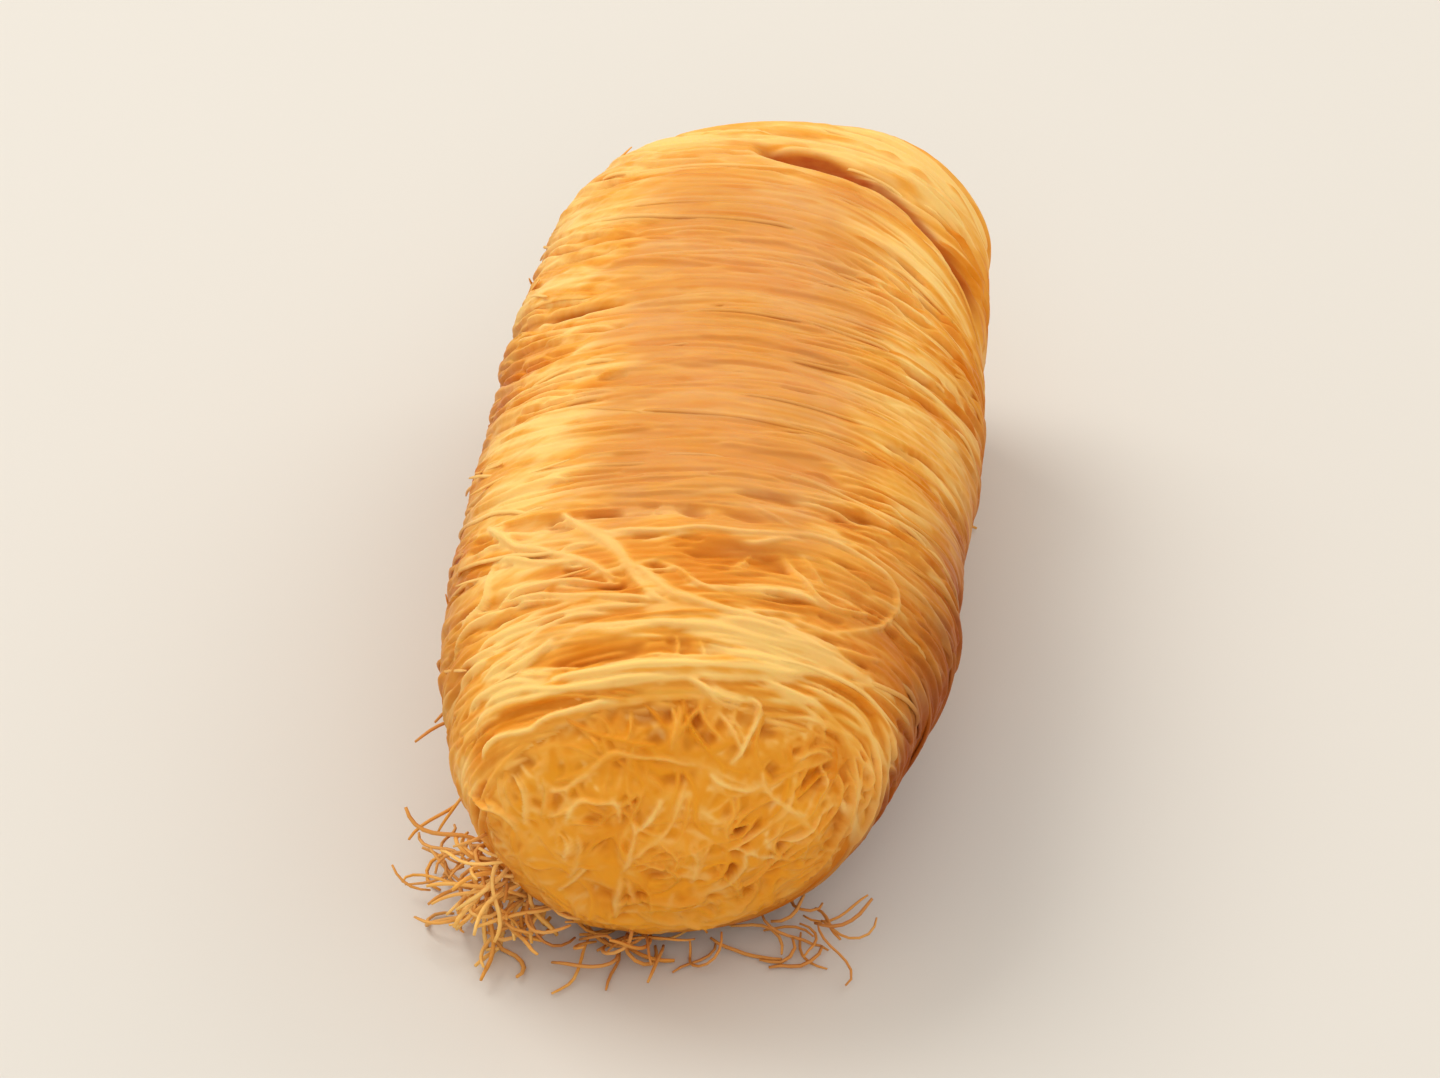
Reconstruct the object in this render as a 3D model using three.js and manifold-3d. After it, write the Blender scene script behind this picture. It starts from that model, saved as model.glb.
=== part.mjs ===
// Kunafa finger: a roll of fine shredded pastry strands, baked and soaked in syrup, lying on its side.
// One solid body. Millimetres, +Z up, long axis along Y, the rounder rolled end at -Y.
// The skin is a revolved barrel reshaped by functions: tapered and crowned along its length, wider than
// it is tall, its front end turned a little to one side, wound all over with strand bundles that leave
// shallow ridges, with a rolled spiral on both end faces, a split under the last turn near the back,
// and a flat, sagged base where it rests.
import * as THREE from 'three';
import { mergeVertices } from 'three/addons/utils/BufferGeometryUtils.js';
import Module from 'manifold-3d';

// ---------------------------------------------------------------- driving dimensions (mm)
const LENGTH = 66;            // end to end, along Y
const WIDTH = 34;             // widest, along X
const HEIGHT = 28.5;          // base to the highest turn, along Z
const TAPER = 0.027;          // the back end is narrower than the front by about twice this share
const CROWN = 0.116;          // the middle is fuller than the ends by this share

const FRONT_NARROW = 0.18;    // the sides draw in by this share towards the front
const FRONT_NARROW_LEN = 24;  // over this length
const FRONT_CAP = 12;         // depth of the domed front end
const BACK_CAP = 9;           // the same for the squarer back end, left side
const BACK_CAP_RIGHT = 3.2;   // and its right side, where the last turn makes a fuller corner
const CAP_POWER = 3.0;        // superellipse power of both

const FRONT_TURN = 0.12;      // the front face is turned to +X by this slope
const BACK_TURN = -0.03;      // the back face, very slightly, the other way
const FLAT = 0.08;            // depth of the flat under the roll, as a share of the half height
const SAG = 0.12;             // how far the rounded ends drop towards the base, as a share of it

const WIND_PITCH = 3.1;       // main spacing of the wound strand bundles along Y
const WIND_DEPTH = 0.30;      // ridge height over the mean surface
const WIND_SLANT = 1.6;       // how far a bundle wanders along Y in going over the roll
const LUMP_DEPTH = 0.36;      // slow hand-rolled unevenness
const SPIRAL_PITCH = 4.6;     // spacing of the rolled layers on the end faces
const SPIRAL_DEPTH = 0.30;

const SPLIT_DEPTH = 1.3;      // split under the last turn near the back
const SPLIT_WIDTH = 0.9;      // half width of its mouth
const LOBE = 0.9;             // how far the last turn stands out behind the split

const AROUND = 40;            // facets around
const ROWS_FRONT = 15, ROWS_BODY = 76, ROWS_BACK = 13;

// ---------------------------------------------------------------- helpers
const clamp01 = (v) => Math.min(1, Math.max(0, v));
const smooth = (v) => { const t = clamp01(v); return t * t * (3 - 2 * t); };
const lerp = (a, b, t) => a + (b - a) * t;
const roundOff = (w, p) => Math.pow(Math.max(0, 1 - Math.pow(clamp01(w), p)), 1 / p);

// slow, repeatable waviness made of a few sines; whole turns in a, so it closes around the roll
const wave = (a, b, k) =>
  (Math.sin(2 * a + 2.3 * b + 1.3 * k) + Math.sin(3 * a - 1.1 * b + 4.1 * k) * 0.6
   + Math.sin(a + 3.7 * b + 7.7 * k) * 0.5) / 2.1;

// how full the roll is at u in [-1, 1] along its length; side is cos of the angle around it
const fullness = (u, side) => {
  const fromFront = (1 + u) * LENGTH / 2, fromBack = (1 - u) * LENGTH / 2;
  const cap = lerp(BACK_CAP, BACK_CAP_RIGHT, smooth(0.5 + 0.5 * side));
  const draw = clamp01(1 - fromFront / FRONT_NARROW_LEN);
  return (1 - FRONT_NARROW * draw * draw)
    * roundOff(1 - fromFront / FRONT_CAP, CAP_POWER) * roundOff(1 - fromBack / cap, CAP_POWER);
};
const girth = (u) => (1 - TAPER * u) * (1 + CROWN * (1 - u * u));
let girthMax = 0;
for (let i = 0; i <= 400; i++) {
  const u = -1 + i / 200;
  girthMax = Math.max(girthMax, girth(u) * fullness(u, 0));
}
const HALF_HEIGHT = HEIGHT / (2 - FLAT);

// point of the smooth barrel at u along it and angle a around it
const barrel = (u, a, target) => {
  const side = Math.cos(a);
  const s = fullness(u, side), k = girth(u) / girthMax;
  const turn = FRONT_TURN * smooth((-u - 0.1) / 0.8) + BACK_TURN * smooth((u - 0.1) / 0.8);
  // the under side of the front right corner is tucked in, where the roll lifts off
  const tuck = 1 - 0.07 * smooth((-u - 0.35) / 0.5) * smooth(side * 0.8 - Math.sin(a) * 0.9);
  const x = (WIDTH / 2) * k * s * tuck * side;
  const zc = HALF_HEIGHT * (k - FLAT - SAG * (1 - Math.exp(-(1 - s) / 0.4)));
  return target.set(x, u * LENGTH / 2 + x * turn, zc + HALF_HEIGHT * k * s * tuck * Math.sin(a));
};

// height of the surface over the smooth barrel: windings, lumps, rolled spiral on the ends, the split
const relief = (u, a, s) => {
  const y = u * LENGTH / 2;
  const onEnd = smooth((0.88 - s) / 0.3);                     // 0 on the side, 1 on an end face
  const drift = (k) => WIND_SLANT * wave(a, y * 0.05, k) + 0.6 * wave(a * 2.0, y * 0.2, k + 1);
  const ridge = (pitch, k) => Math.sin((2 * Math.PI / pitch) * (y + drift(k))) * (0.6 + 0.4 * wave(a * 2, y * 0.33, k + 2));
  const wind = 0.62 * ridge(WIND_PITCH, 1) + 0.45 * ridge(WIND_PITCH * 1.55, 4) + 0.3 * ridge(WIND_PITCH * 0.86, 7);
  const side = WIND_DEPTH * wind + LUMP_DEPTH * wave(a, y * 0.11, 4);
  const r = s * WIDTH / 2;
  const spin = u < 0 ? 1 : -1;
  const turns = Math.sin(2 * Math.PI * (r / SPIRAL_PITCH - spin * a / (2 * Math.PI)) + 0.5 * wave(a, r * 0.4, 5));
  const end = smooth(r / 3) * (SPIRAL_DEPTH * turns + 0.22 * wave(a * 2, r * 0.5, 6));
  // the split runs from the top of the back end, forward and down the right side
  const deg = THREE.MathUtils.radToDeg(a);
  const along = 24.2 - 5.0 * Math.pow(smooth((78 - deg) / 72), 1.4);
  const across = (y - along) / SPLIT_WIDTH;
  const within = smooth((deg - 10) / 16) * smooth((98 - deg) / 16);
  const split = -SPLIT_DEPTH * within * Math.exp(-across * across);
  const lobe = LOBE * smooth((deg + 5) / 25) * smooth((85 - deg) / 40) * smooth((y - along - 0.6) / 2.2);
  return lerp(side + split, end, onEnd) + lobe * (1 - onEnd);
};

// ---------------------------------------------------------------- the wound roll
// stations along the roll, closer together round the ends; the lathe profile starts and ends on the axis
const stations = [];
for (let i = 0; i <= ROWS_FRONT; i++) {
  const t = i / ROWS_FRONT;
  stations.push(-1 + 0.28 * (1 - Math.cos(t * Math.PI / 2)));
}
const bodyStart = stations[stations.length - 1], bodyEnd = 1 - 0.14;
for (let i = 1; i <= ROWS_BODY; i++) stations.push(lerp(bodyStart, bodyEnd, i / ROWS_BODY));
for (let i = 1; i <= ROWS_BACK; i++) {
  const t = i / ROWS_BACK;
  stations.push(bodyEnd + (1 - bodyEnd) * Math.sin(t * Math.PI / 2));
}
const profile = stations.map((u, i) =>
  new THREE.Vector2(i === 0 || i === stations.length - 1 ? 0 : Math.max(0.05, fullness(u, 0)) * WIDTH / 2, u * LENGTH / 2));

let skin = new THREE.LatheGeometry(profile, AROUND);
skin.deleteAttribute('normal');
skin.deleteAttribute('uv');
skin = mergeVertices(skin, 1e-4);

// drop the collapsed triangles at the two poles
{
  const idx = skin.index.array, keep = [];
  for (let i = 0; i < idx.length; i += 3) {
    const [a, b, c] = [idx[i], idx[i + 1], idx[i + 2]];
    if (a !== b && b !== c && c !== a) keep.push(a, b, c);
  }
  skin.setIndex(keep);
}

// reshape: first onto the barrel, then out along the barrel's own normals by the relief
const pos = skin.attributes.position;
const us = [], as = [], ss = [];
const p = new THREE.Vector3(), n = new THREE.Vector3();
for (let i = 0; i < pos.count; i++) {
  p.fromBufferAttribute(pos, i);
  const u = p.y / (LENGTH / 2), a = Math.atan2(p.z, p.x);
  const pole = Math.hypot(p.x, p.z) < 1e-3;
  const full = pole ? 0 : fullness(u, Math.cos(a));
  us.push(u); as.push(a); ss.push(full);
  barrel(u, pole ? Math.PI / 2 : a, p);
  pos.setXYZ(i, p.x, p.y, p.z);
}
skin.computeVertexNormals();
const nor = skin.attributes.normal;
const centre = new THREE.Vector3(0, 0, HEIGHT / 2);
let outward = 0;
for (let i = 0; i < pos.count; i++) {
  p.fromBufferAttribute(pos, i).sub(centre);
  outward += p.dot(n.fromBufferAttribute(nor, i));
}
const flip = Math.sign(outward);
for (let i = 0; i < pos.count; i++) {
  p.fromBufferAttribute(pos, i);
  n.fromBufferAttribute(nor, i).multiplyScalar(flip);
  // the windings are pressed flat where the roll sits on its base
  const pressed = smooth((p.z + 0.6) / 2.2);
  p.addScaledVector(n, relief(us[i], as[i], ss[i]) * lerp(0.15, 1, pressed));
  pos.setXYZ(i, p.x, p.y, p.z);
}
if (flip < 0) {
  const idx = skin.index.array;
  for (let i = 0; i < idx.length; i += 3) [idx[i + 1], idx[i + 2]] = [idx[i + 2], idx[i + 1]];
}
skin.deleteAttribute('normal');

// ---------------------------------------------------------------- flat base: keep what lies above z = 0
const wasm = await Module();
wasm.setup();
const toSolid = (geometry) => {
  let g = geometry.clone();
  for (const name of Object.keys(g.attributes)) if (name !== 'position') g.deleteAttribute(name);
  g = mergeVertices(g, 1e-5);
  const mesh = new wasm.Mesh({
    numProp: 3,
    vertProperties: new Float32Array(g.attributes.position.array),
    triVerts: new Uint32Array(g.index.array),
  });
  mesh.merge();
  return new wasm.Manifold(mesh);
};
const keepBox = new THREE.BoxGeometry(3 * WIDTH, 2 * LENGTH, 3 * HEIGHT);
keepBox.translate(0, 0, 1.5 * HEIGHT);
const cut = toSolid(skin).intersect(toSolid(keepBox)).getMesh();

const geometry = new THREE.BufferGeometry();
geometry.setAttribute('position', new THREE.BufferAttribute(new Float32Array(cut.vertProperties), 3));
geometry.setIndex(new THREE.BufferAttribute(new Uint32Array(cut.triVerts), 1));

// origin at the middle of the footprint, on the base
geometry.computeBoundingBox();
const box = geometry.boundingBox;
geometry.translate(-(box.min.x + box.max.x) / 2, -(box.min.y + box.max.y) / 2, -box.min.z);
geometry.computeVertexNormals();

const roll = new THREE.Mesh(geometry, new THREE.MeshStandardMaterial({
  color: 0xdb9440, roughness: 0.5, metalness: 0,
}));
roll.name = 'kunafa_roll';

const group = new THREE.Group();
group.add(roll);
export default group;
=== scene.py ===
import math
import time
import bpy
import numpy as np
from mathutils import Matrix, Quaternion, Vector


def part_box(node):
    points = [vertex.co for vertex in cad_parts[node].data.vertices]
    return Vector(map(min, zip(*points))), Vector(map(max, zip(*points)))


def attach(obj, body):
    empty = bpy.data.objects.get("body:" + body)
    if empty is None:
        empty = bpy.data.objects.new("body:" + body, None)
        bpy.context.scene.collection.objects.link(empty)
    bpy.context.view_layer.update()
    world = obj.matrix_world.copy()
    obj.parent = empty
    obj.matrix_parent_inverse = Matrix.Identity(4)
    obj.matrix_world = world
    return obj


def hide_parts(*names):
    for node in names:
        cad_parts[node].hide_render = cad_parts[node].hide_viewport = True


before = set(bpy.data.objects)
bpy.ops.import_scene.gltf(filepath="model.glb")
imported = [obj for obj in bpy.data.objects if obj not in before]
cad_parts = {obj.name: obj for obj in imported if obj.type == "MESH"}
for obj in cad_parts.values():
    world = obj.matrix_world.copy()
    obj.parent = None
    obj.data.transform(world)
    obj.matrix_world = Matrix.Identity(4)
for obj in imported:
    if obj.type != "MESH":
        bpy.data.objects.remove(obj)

T0 = time.perf_counter()
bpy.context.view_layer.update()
NODE_LO, NODE_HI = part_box("kunafa_roll")
MM = 0.001

# ======================================================================== the roll's own surface (mm)
# The same barrel and relief as the CAD solid.
LENGTH, WIDTH, HEIGHT = 66.0, 34.0, 28.5
TAPER, CROWN = 0.027, 0.116
FRONT_NARROW, FRONT_NARROW_LEN, FRONT_CAP = 0.18, 24.0, 12.0
BACK_CAP, BACK_CAP_RIGHT, CAP_POWER = 9.0, 3.2, 3.0
FRONT_TURN, BACK_TURN, FLAT, SAG = 0.12, -0.03, 0.08, 0.12
WIND_PITCH, WIND_DEPTH, WIND_SLANT, LUMP_DEPTH = 3.1, 0.30, 1.6, 0.36
SPIRAL_PITCH, SPIRAL_DEPTH = 4.6, 0.30
SPLIT_DEPTH, SPLIT_WIDTH, LOBE = 1.3, 0.9, 0.9
HALF_HEIGHT = HEIGHT / (2 - FLAT)
# the CAD solid is centred on its own box, so the barrel is moved onto it
SHIFT = np.array([
    (NODE_LO.x + NODE_HI.x) / 2 / MM + 0.023,
    (NODE_LO.y + NODE_HI.y) / 2 / MM + 0.060,
    NODE_LO.z / MM,
])
TAU = 2 * math.pi


def smooth(v):
    v = np.clip(v, 0.0, 1.0)
    return v * v * (3 - 2 * v)


def round_off(w, p):
    return np.maximum(0.0, 1 - np.clip(w, 0.0, 1.0) ** p) ** (1 / p)


def wave(a, b, k):
    return (np.sin(2 * a + 2.3 * b + 1.3 * k) + np.sin(3 * a - 1.1 * b + 4.1 * k) * 0.6
            + np.sin(a + 3.7 * b + 7.7 * k) * 0.5) / 2.1


def fullness(y, side):
    front, back = y + LENGTH / 2, LENGTH / 2 - y
    cap = BACK_CAP + (BACK_CAP_RIGHT - BACK_CAP) * smooth(0.5 + 0.5 * side)
    draw = np.clip(1 - front / FRONT_NARROW_LEN, 0, 1)
    return ((1 - FRONT_NARROW * draw * draw) * round_off(1 - front / FRONT_CAP, CAP_POWER)
            * round_off(1 - back / cap, CAP_POWER))


def girth(u):
    return (1 - TAPER * u) * (1 + CROWN * (1 - u * u))


_y = np.linspace(-LENGTH / 2, LENGTH / 2, 401)
GIRTH_MAX = float((girth(_y / (LENGTH / 2)) * fullness(_y, 0 * _y)).max())


def barrel(y, a):
    side, u = np.cos(a), y / (LENGTH / 2)
    s, k = fullness(y, side), girth(u) / GIRTH_MAX
    turn = FRONT_TURN * smooth((-u - 0.1) / 0.8) + BACK_TURN * smooth((u - 0.1) / 0.8)
    tuck = 1 - 0.07 * smooth((-u - 0.35) / 0.5) * smooth(side * 0.8 - np.sin(a) * 0.9)
    x = WIDTH / 2 * k * s * tuck * side
    zc = HALF_HEIGHT * (k - FLAT - SAG * (1 - np.exp(-(1 - s) / 0.4)))
    z = zc + HALF_HEIGHT * k * s * tuck * np.sin(a)
    return np.stack([x, y + x * turn, z], -1) + SHIFT


# distance along a meridian from the front pole, so that (v, a) are polar coordinates on the front face
_yy = -LENGTH / 2 + LENGTH * (0.5 - 0.5 * np.cos(np.linspace(0, math.pi, 4001)))
_rho = fullness(_yy, np.zeros_like(_yy)) * girth(_yy / (LENGTH / 2)) / GIRTH_MAX * (WIDTH + 2 * HALF_HEIGHT) / 4
V_TAB = np.concatenate([[0], np.cumsum(np.hypot(np.diff(_yy), np.diff(_rho)))])
V_END = float(V_TAB[-1])


def v_of_y(y):
    return np.interp(y, _yy, V_TAB)


def y_of_v(v):
    return np.interp(v, V_TAB, _yy)


def radius_at(v):
    return np.interp(v, V_TAB, _rho)


def degrees_of(a):
    return np.degrees(np.mod(a + math.pi, TAU) - math.pi)


def split_line(a):
    """Where the split under the last turn runs: its y at angle a, and how much of it there is."""
    deg = degrees_of(a)
    along = 24.2 - 5.0 * smooth((78 - deg) / 72) ** 1.4 + 0.7 * smooth((deg - 80) / 13)
    within = smooth((deg - 10) / 16) * smooth((94 - deg) / 8)
    return along, within, deg


def relief(y, a):
    """Height of the skin over the smooth barrel: bundles, lumps, rolled ends, the last turn's lobe."""
    s = fullness(y, np.cos(a))
    on_end = smooth((0.88 - s) / 0.3)

    def ridge(pitch, k):
        dr = WIND_SLANT * wave(a, y * 0.05, k) + 0.6 * wave(2 * a, y * 0.2, k + 1)
        return np.sin(TAU / pitch * (y + dr)) * (0.6 + 0.4 * wave(2 * a, y * 0.33, k + 2))

    wind = 0.62 * ridge(WIND_PITCH, 1) + 0.45 * ridge(WIND_PITCH * 1.55, 4) + 0.3 * ridge(WIND_PITCH * 0.86, 7)
    side = 0.45 * WIND_DEPTH * wind + LUMP_DEPTH * wave(a, y * 0.11, 4)
    r = s * WIDTH / 2
    spin = np.where(y < 0, 1.0, -1.0)
    turns = np.sin(TAU * (r / SPIRAL_PITCH - spin * a / TAU) + 0.5 * wave(a, r * 0.4, 5))
    end = smooth(r / 3) * (0.6 * SPIRAL_DEPTH * turns + 0.22 * wave(2 * a, r * 0.5, 6))
    along, within, deg = split_line(a)
    lobe = LOBE * smooth((deg + 5) / 25) * smooth((85 - deg) / 40) * smooth((y - along - 0.6) / 2.2)
    return side * (1 - on_end) + end * on_end + lobe * (1 - on_end)


def surface(v, a, h):
    """Point at height h over the skin, and the outward normal there."""
    v = np.clip(v, 0.12, V_END - 0.12)
    y = y_of_v(v)
    dv = 0.2
    da = 0.25 / np.clip(radius_at(v), 1.0, 14.0)
    p = barrel(y, a)
    pv = barrel(y_of_v(np.minimum(v + dv, V_END - 0.02)), a) - barrel(y_of_v(np.maximum(v - dv, 0.02)), a)
    pa = barrel(y, a + da) - barrel(y, a - da)
    n = np.cross(pv, pa)
    n /= np.maximum(np.linalg.norm(n, axis=-1, keepdims=True), 1e-9)
    return p + n * (relief(y, a) + h)[..., None], n


def place(v, a, h, floor=0.1, flat=0.55):
    p, n = surface(v, a, h)
    # nothing goes under the resting plane: what would is pressed flat on it
    low = p[..., 2] < floor + flat
    p[..., 2] = np.where(low, floor + flat * np.exp((p[..., 2] - floor - flat) / flat), p[..., 2])
    return p, n


_p, _n = surface(np.array([40.0]), np.array([math.pi / 2]), np.array([0.0]))
assert _n[0, 2] > 0.9, "normals point outward"

# ======================================================================== how the windings run
def coherent(seed, n, fy, fa, amp):
    r = np.random.default_rng(seed)
    ky, ka = r.uniform(-fy, fy, n), r.integers(0, fa + 1, n)
    ph, am = r.uniform(0, TAU, n), r.uniform(0.5, 1, n)
    am = am / am.sum() * amp * 1.8

    def f(v, a):
        out = 0
        for i in range(n):
            out = out + am[i] * np.sin(ky[i] * v + ka[i] * a + ph[i])
        return out
    return f


drift = coherent(3, 7, 0.14, 3, 0.9)
fine = coherent(5, 8, 0.5, 7, 0.28)
lift = coherent(11, 9, 0.6, 5, 0.10)


def lean(v0, a):
    """The windings lean: further back down the sides than on top, except along the split at the back right."""
    left = 4.6 + 4.2 * smooth((v0 - 14) / 16) + 2.2 * smooth((v0 - 34) / 24)
    right = 4.4 + 2.4 * smooth((v0 - 16) / 14) - 9.4 * smooth((v0 - 44) / 19)
    w = smooth(0.5 - 0.62 * np.cos(a))
    g = 1 - np.sin(a)
    g = np.where(g > 1, 1 + 0.22 * (1 - np.exp(-(g - 1) / 0.3)), g)
    return (right + (left - right) * w) * g


def flow(v0, a):
    return v0 + lean(v0, a) + drift(v0, a) * smooth((v0 - 8) / 10)


def toast_at(v, a):
    """0 pale gold to 1 well browned: the band along the top."""
    y = y_of_v(v)
    deg = np.degrees(np.mod(a, TAU))
    ragged = 5 * wave(3 * a, y * 0.35, 2) + 4 * wave(6 * a, y * 0.9, 5)
    off = deg - 84 + ragged
    band = (smooth((np.where(off < 0, 39, 46) - np.abs(off)) / 24) * smooth((y + 20.6 + ragged * 0.2) / 5)
            * smooth((29 - y + ragged * 0.3) / 13))
    loose = 0.28 * smooth((y + 27) / 3) * smooth((-12 - y) / 3) * smooth((142 - deg) / 20) * smooth((deg - 20) / 15)
    return np.maximum(band, loose)


# how far up the right flank the browning and painted shade reach, and how dark they are, along the roll
BROWN_SHADE_Y = [-34, -30, -28, -26, -24, -22, -17, -11, -5, 2, 10, 20, 34]
BROWN_SHADE_EDGE = [-60, -40, -12, 2, 20, 28, 23, 23, 17, 9, 5, -4, -20]
BROWN_SHADE_DEEP = [0, 0.4, 0.68, 0.88, 0.97, 0.94, 0.94, 0.96, 0.85, 0.7, 0.6, 0.5, 0.4]


def browning_and_shade_at(v, a):
    """0 golden to 1 dark: browning together with painted shade, down the right flank, less down the left one, and close
    to the base.
    """
    y = y_of_v(v)
    deg = degrees_of(a)
    v0 = v - lean(v, a)
    streak = 0.5 + 0.3 * np.sin(3.1 * v0 + 2.2 * wave(a, v0 * 0.1, 3)) + 0.2 * np.sin(7.3 * v0 + 2.0 * wave(2 * a, v0 * 0.2, 6))
    edge = np.interp(y, BROWN_SHADE_Y, BROWN_SHADE_EDGE) + 3 * wave(3 * a, y * 0.3, 3) + 7 * (streak - 0.5)
    # browning with painted shade: the right flank is darkened as if in the shade beside the roll
    right = smooth((edge + 28 - deg) / 54) * smooth((deg + 125) / 40) * np.interp(y, BROWN_SHADE_Y, BROWN_SHADE_DEEP)
    far = np.where(deg > 0, deg, deg + 360)
    left = 0.38 * smooth((far - 146) / 26) * smooth((225 - far) / 30) * smooth((y + 27) / 6)
    low = smooth((-0.5 - np.sin(a)) / 0.45) * 0.6
    b = np.maximum(np.maximum(right, low), left) * (0.94 + 0.12 * (streak - 0.5))
    b = np.clip(b, 0, 1) * smooth((v - 8.5) / 5) * smooth((V_END - 6 - v) / 5)
    # painted shade: the lower half of each end face is darkened, as in the shade under the roll
    low = smooth((0.06 * v * np.cos(a) - v * np.sin(a) + 3.5) / 6)      # and the lower half of the end faces
    return np.maximum(b, 0.22 * low * smooth((18.5 - v) / 4))


# where the crust is palest, partly its own paleness and partly painted light on the lit left side and the rim: (y,
# degrees), half sizes in mm and degrees, strength
PALE_AND_LIT_SPOTS = [
    (-25.6, 68, 1.9, 24, 0.8), (-27.9, 96, 1.0, 30, 0.35), (-25.6, 138, 1.8, 15, 0.4), (-12.0, 132, 8.0, 15, 0.75),
    (3.0, 130, 5.0, 11, 0.6), (13.5, 133, 4.5, 15, 0.7), (25.5, 110, 4.5, 48, 0.8), (19.0, 146, 5.0, 13, 0.6),
    (4.0, 42, 3.0, 9, 0.3), (-20.0, 141, 4.0, 15, 0.85), (13.0, 45, 6.5, 13, 0.85), (26.5, 48, 3.0, 22, 0.7),
    (-19.8, 53, 2.6, 13, 0.25), (-15.0, 86, 1.6, 22, 0.3), (27.5, 56, 3.0, 18, 0.8),
]


def pale_and_lit_at(v, a):
    y = y_of_v(v)
    deg = np.degrees(np.mod(a, TAU))
    out = 0
    for y0, d0, sy, sd, k in PALE_AND_LIT_SPOTS:
        q = ((y - y0) / sy) ** 2 + ((np.mod(deg - d0 + 180, 360) - 180) / sd) ** 2
        out = out + k * np.exp(-q)
    return np.minimum(out, 1.0)


def face_at(v, a):
    """1 on the two end faces, 0 on the windings."""
    return smooth((12.5 - np.minimum(v, V_END - v)) / 3)


# ======================================================================== height fields of fused strands
class Field:
    """A fine grid over part of the skin on which strands are laid as round ridges, the higher one winning."""

    def __init__(self, n0, n1, m0, wrap, base):
        self.n0, self.n1, self.m0, self.wrap = n0, n1, m0, wrap
        self.h = np.full(n0 * n1, base, np.float32)
        self.t = np.full(n0 * n1, 0.35, np.float32)
        self.q = []

    def lay(self, f0, f1, m1, h, r, tint):
        self.q.append((f0, f1, m1, h, r, np.full(len(f0), tint)))

    def flush(self, flat=0.85):
        if not self.q:
            return
        f0, f1, m1, h, r, t = [np.concatenate([np.broadcast_to(c[k], c[0].shape) for c in self.q]).astype(np.float32)
                               for k in range(6)]
        self.q = []
        i0, j0 = np.floor(f0).astype(np.int32), np.floor(f1).astype(np.int32)
        R0 = int(math.ceil(r.max() / self.m0))
        R1 = int(min(9, math.ceil((r / m1).max())))
        cs, ix, ts = [], [], []
        for di in range(-R0, R0 + 2):
            ii = i0 + di
            d0 = ((ii - f0) * self.m0) ** 2
            ok0 = (ii >= 0) & (ii < self.n0) & (d0 < r * r)
            for dj in range(-R1, R1 + 2):
                jj = j0 + dj
                d2 = d0 + ((jj - f1) * m1) ** 2
                ok = ok0 & (d2 < r * r)
                if self.wrap:
                    jj = np.mod(jj, self.n1)
                else:
                    ok &= (jj >= 0) & (jj < self.n1)
                k = np.nonzero(ok)[0]
                if len(k) == 0:
                    continue
                cs.append(h[k] + flat * (np.sqrt(r[k] * r[k] - d2[k]) - r[k]))
                ix.append(ii[k] * self.n1 + jj[k])
                ts.append(t[k])
        cs, ix, ts = np.concatenate(cs), np.concatenate(ix), np.concatenate(ts)
        np.maximum.at(self.h, ix, cs)
        win = cs >= self.h[ix] - 1e-6
        self.t[ix[win]] = ts[win]

    def grid(self):
        return self.h.reshape(self.n0, self.n1)


def blur(g, s0, s1, wrap):
    for axis, s in ((0, s0), (1, s1)):
        if s <= 0:
            continue
        n = int(math.ceil(2.5 * s))
        k = np.exp(-0.5 * (np.arange(-n, n + 1) / s) ** 2)
        k /= k.sum()
        pad = [(0, 0), (0, 0)]
        pad[axis] = (n, n)
        e = np.pad(g, pad, mode="wrap" if (wrap and axis == 1) else "edge")
        out = np.zeros_like(g)
        for i, w in enumerate(k):
            out += w * (e[i:i + g.shape[0], :] if axis == 0 else e[:, i:i + g.shape[1]])
        g = out
    return g


def sample(g, f0, f1, wrap):
    f0 = np.clip(f0, 0, g.shape[0] - 1.001)
    if wrap:
        f1 = np.mod(f1, g.shape[1])
    else:
        f1 = np.clip(f1, 0, g.shape[1] - 1.001)
    i, j = np.floor(f0).astype(int), np.floor(f1).astype(int)
    u, w = f0 - i, f1 - j
    j2 = (j + 1) % g.shape[1] if wrap else j + 1
    return (g[i, j] * (1 - u) * (1 - w) + g[i + 1, j] * u * (1 - w) + g[i, j2] * (1 - u) * w + g[i + 1, j2] * u * w)


DV, NA = 0.06, 900
NV = int(V_END / DV) + 2
DEEP = -1.05
body = Field(NV, NA, DV, True, DEEP)
FC, FH = 0.065, 15.5                      # cell and half size of the two end fields
FN = int(2 * FH / FC)
KV, KA, KE = 0.08 / DV, NA / 720, 0.08 / FC      # cells for each of the blur units used below
ends = [Field(FN, FN, FC, False, DEEP), Field(FN, FN, FC, False, DEEP)]

rng = np.random.default_rng(20)


def wound_path(v0, a0, span, slope, wig, step, r=rng):
    """One strand wound over the roll: v, a and run along it."""
    R = 14.5
    n = max(4, int(abs(span) * R / step))
    s = np.linspace(0, abs(span) * R, n)
    a = a0 + np.sign(span) * s / R
    ph = r.uniform(0, TAU, 3)
    v = flow(v0, a) + fine(v0, a) + slope * (s - s[-1] / 2) * np.sign(span)
    v = v + wig * (np.sin(s / 4.3 + ph[0]) + 0.6 * np.sin(s / 2.3 + ph[1]) + 0.25 * np.sin(s / 0.9 + ph[2]))
    return v, a, s


def split_drop(v, a):
    """Strands sink where the split runs: wide towards the top, a narrow slit lower down."""
    along, within, deg = split_line(a)
    e = y_of_v(v) - along
    d = e - 0.4
    w = 0.6 + 0.7 * smooth((deg - 48) / 24)
    low = 1 - smooth((deg - 56) / 16)
    wide = (1.3 - 0.9 * low) * np.exp(-np.abs(d / (np.where(d < 0, 0.8, 0.5) * w)) ** 2.2)
    slit = 0.75 * low * np.exp(-((e - 0.3) / 0.3) ** 2)
    return -within * (wide + slit)


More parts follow.
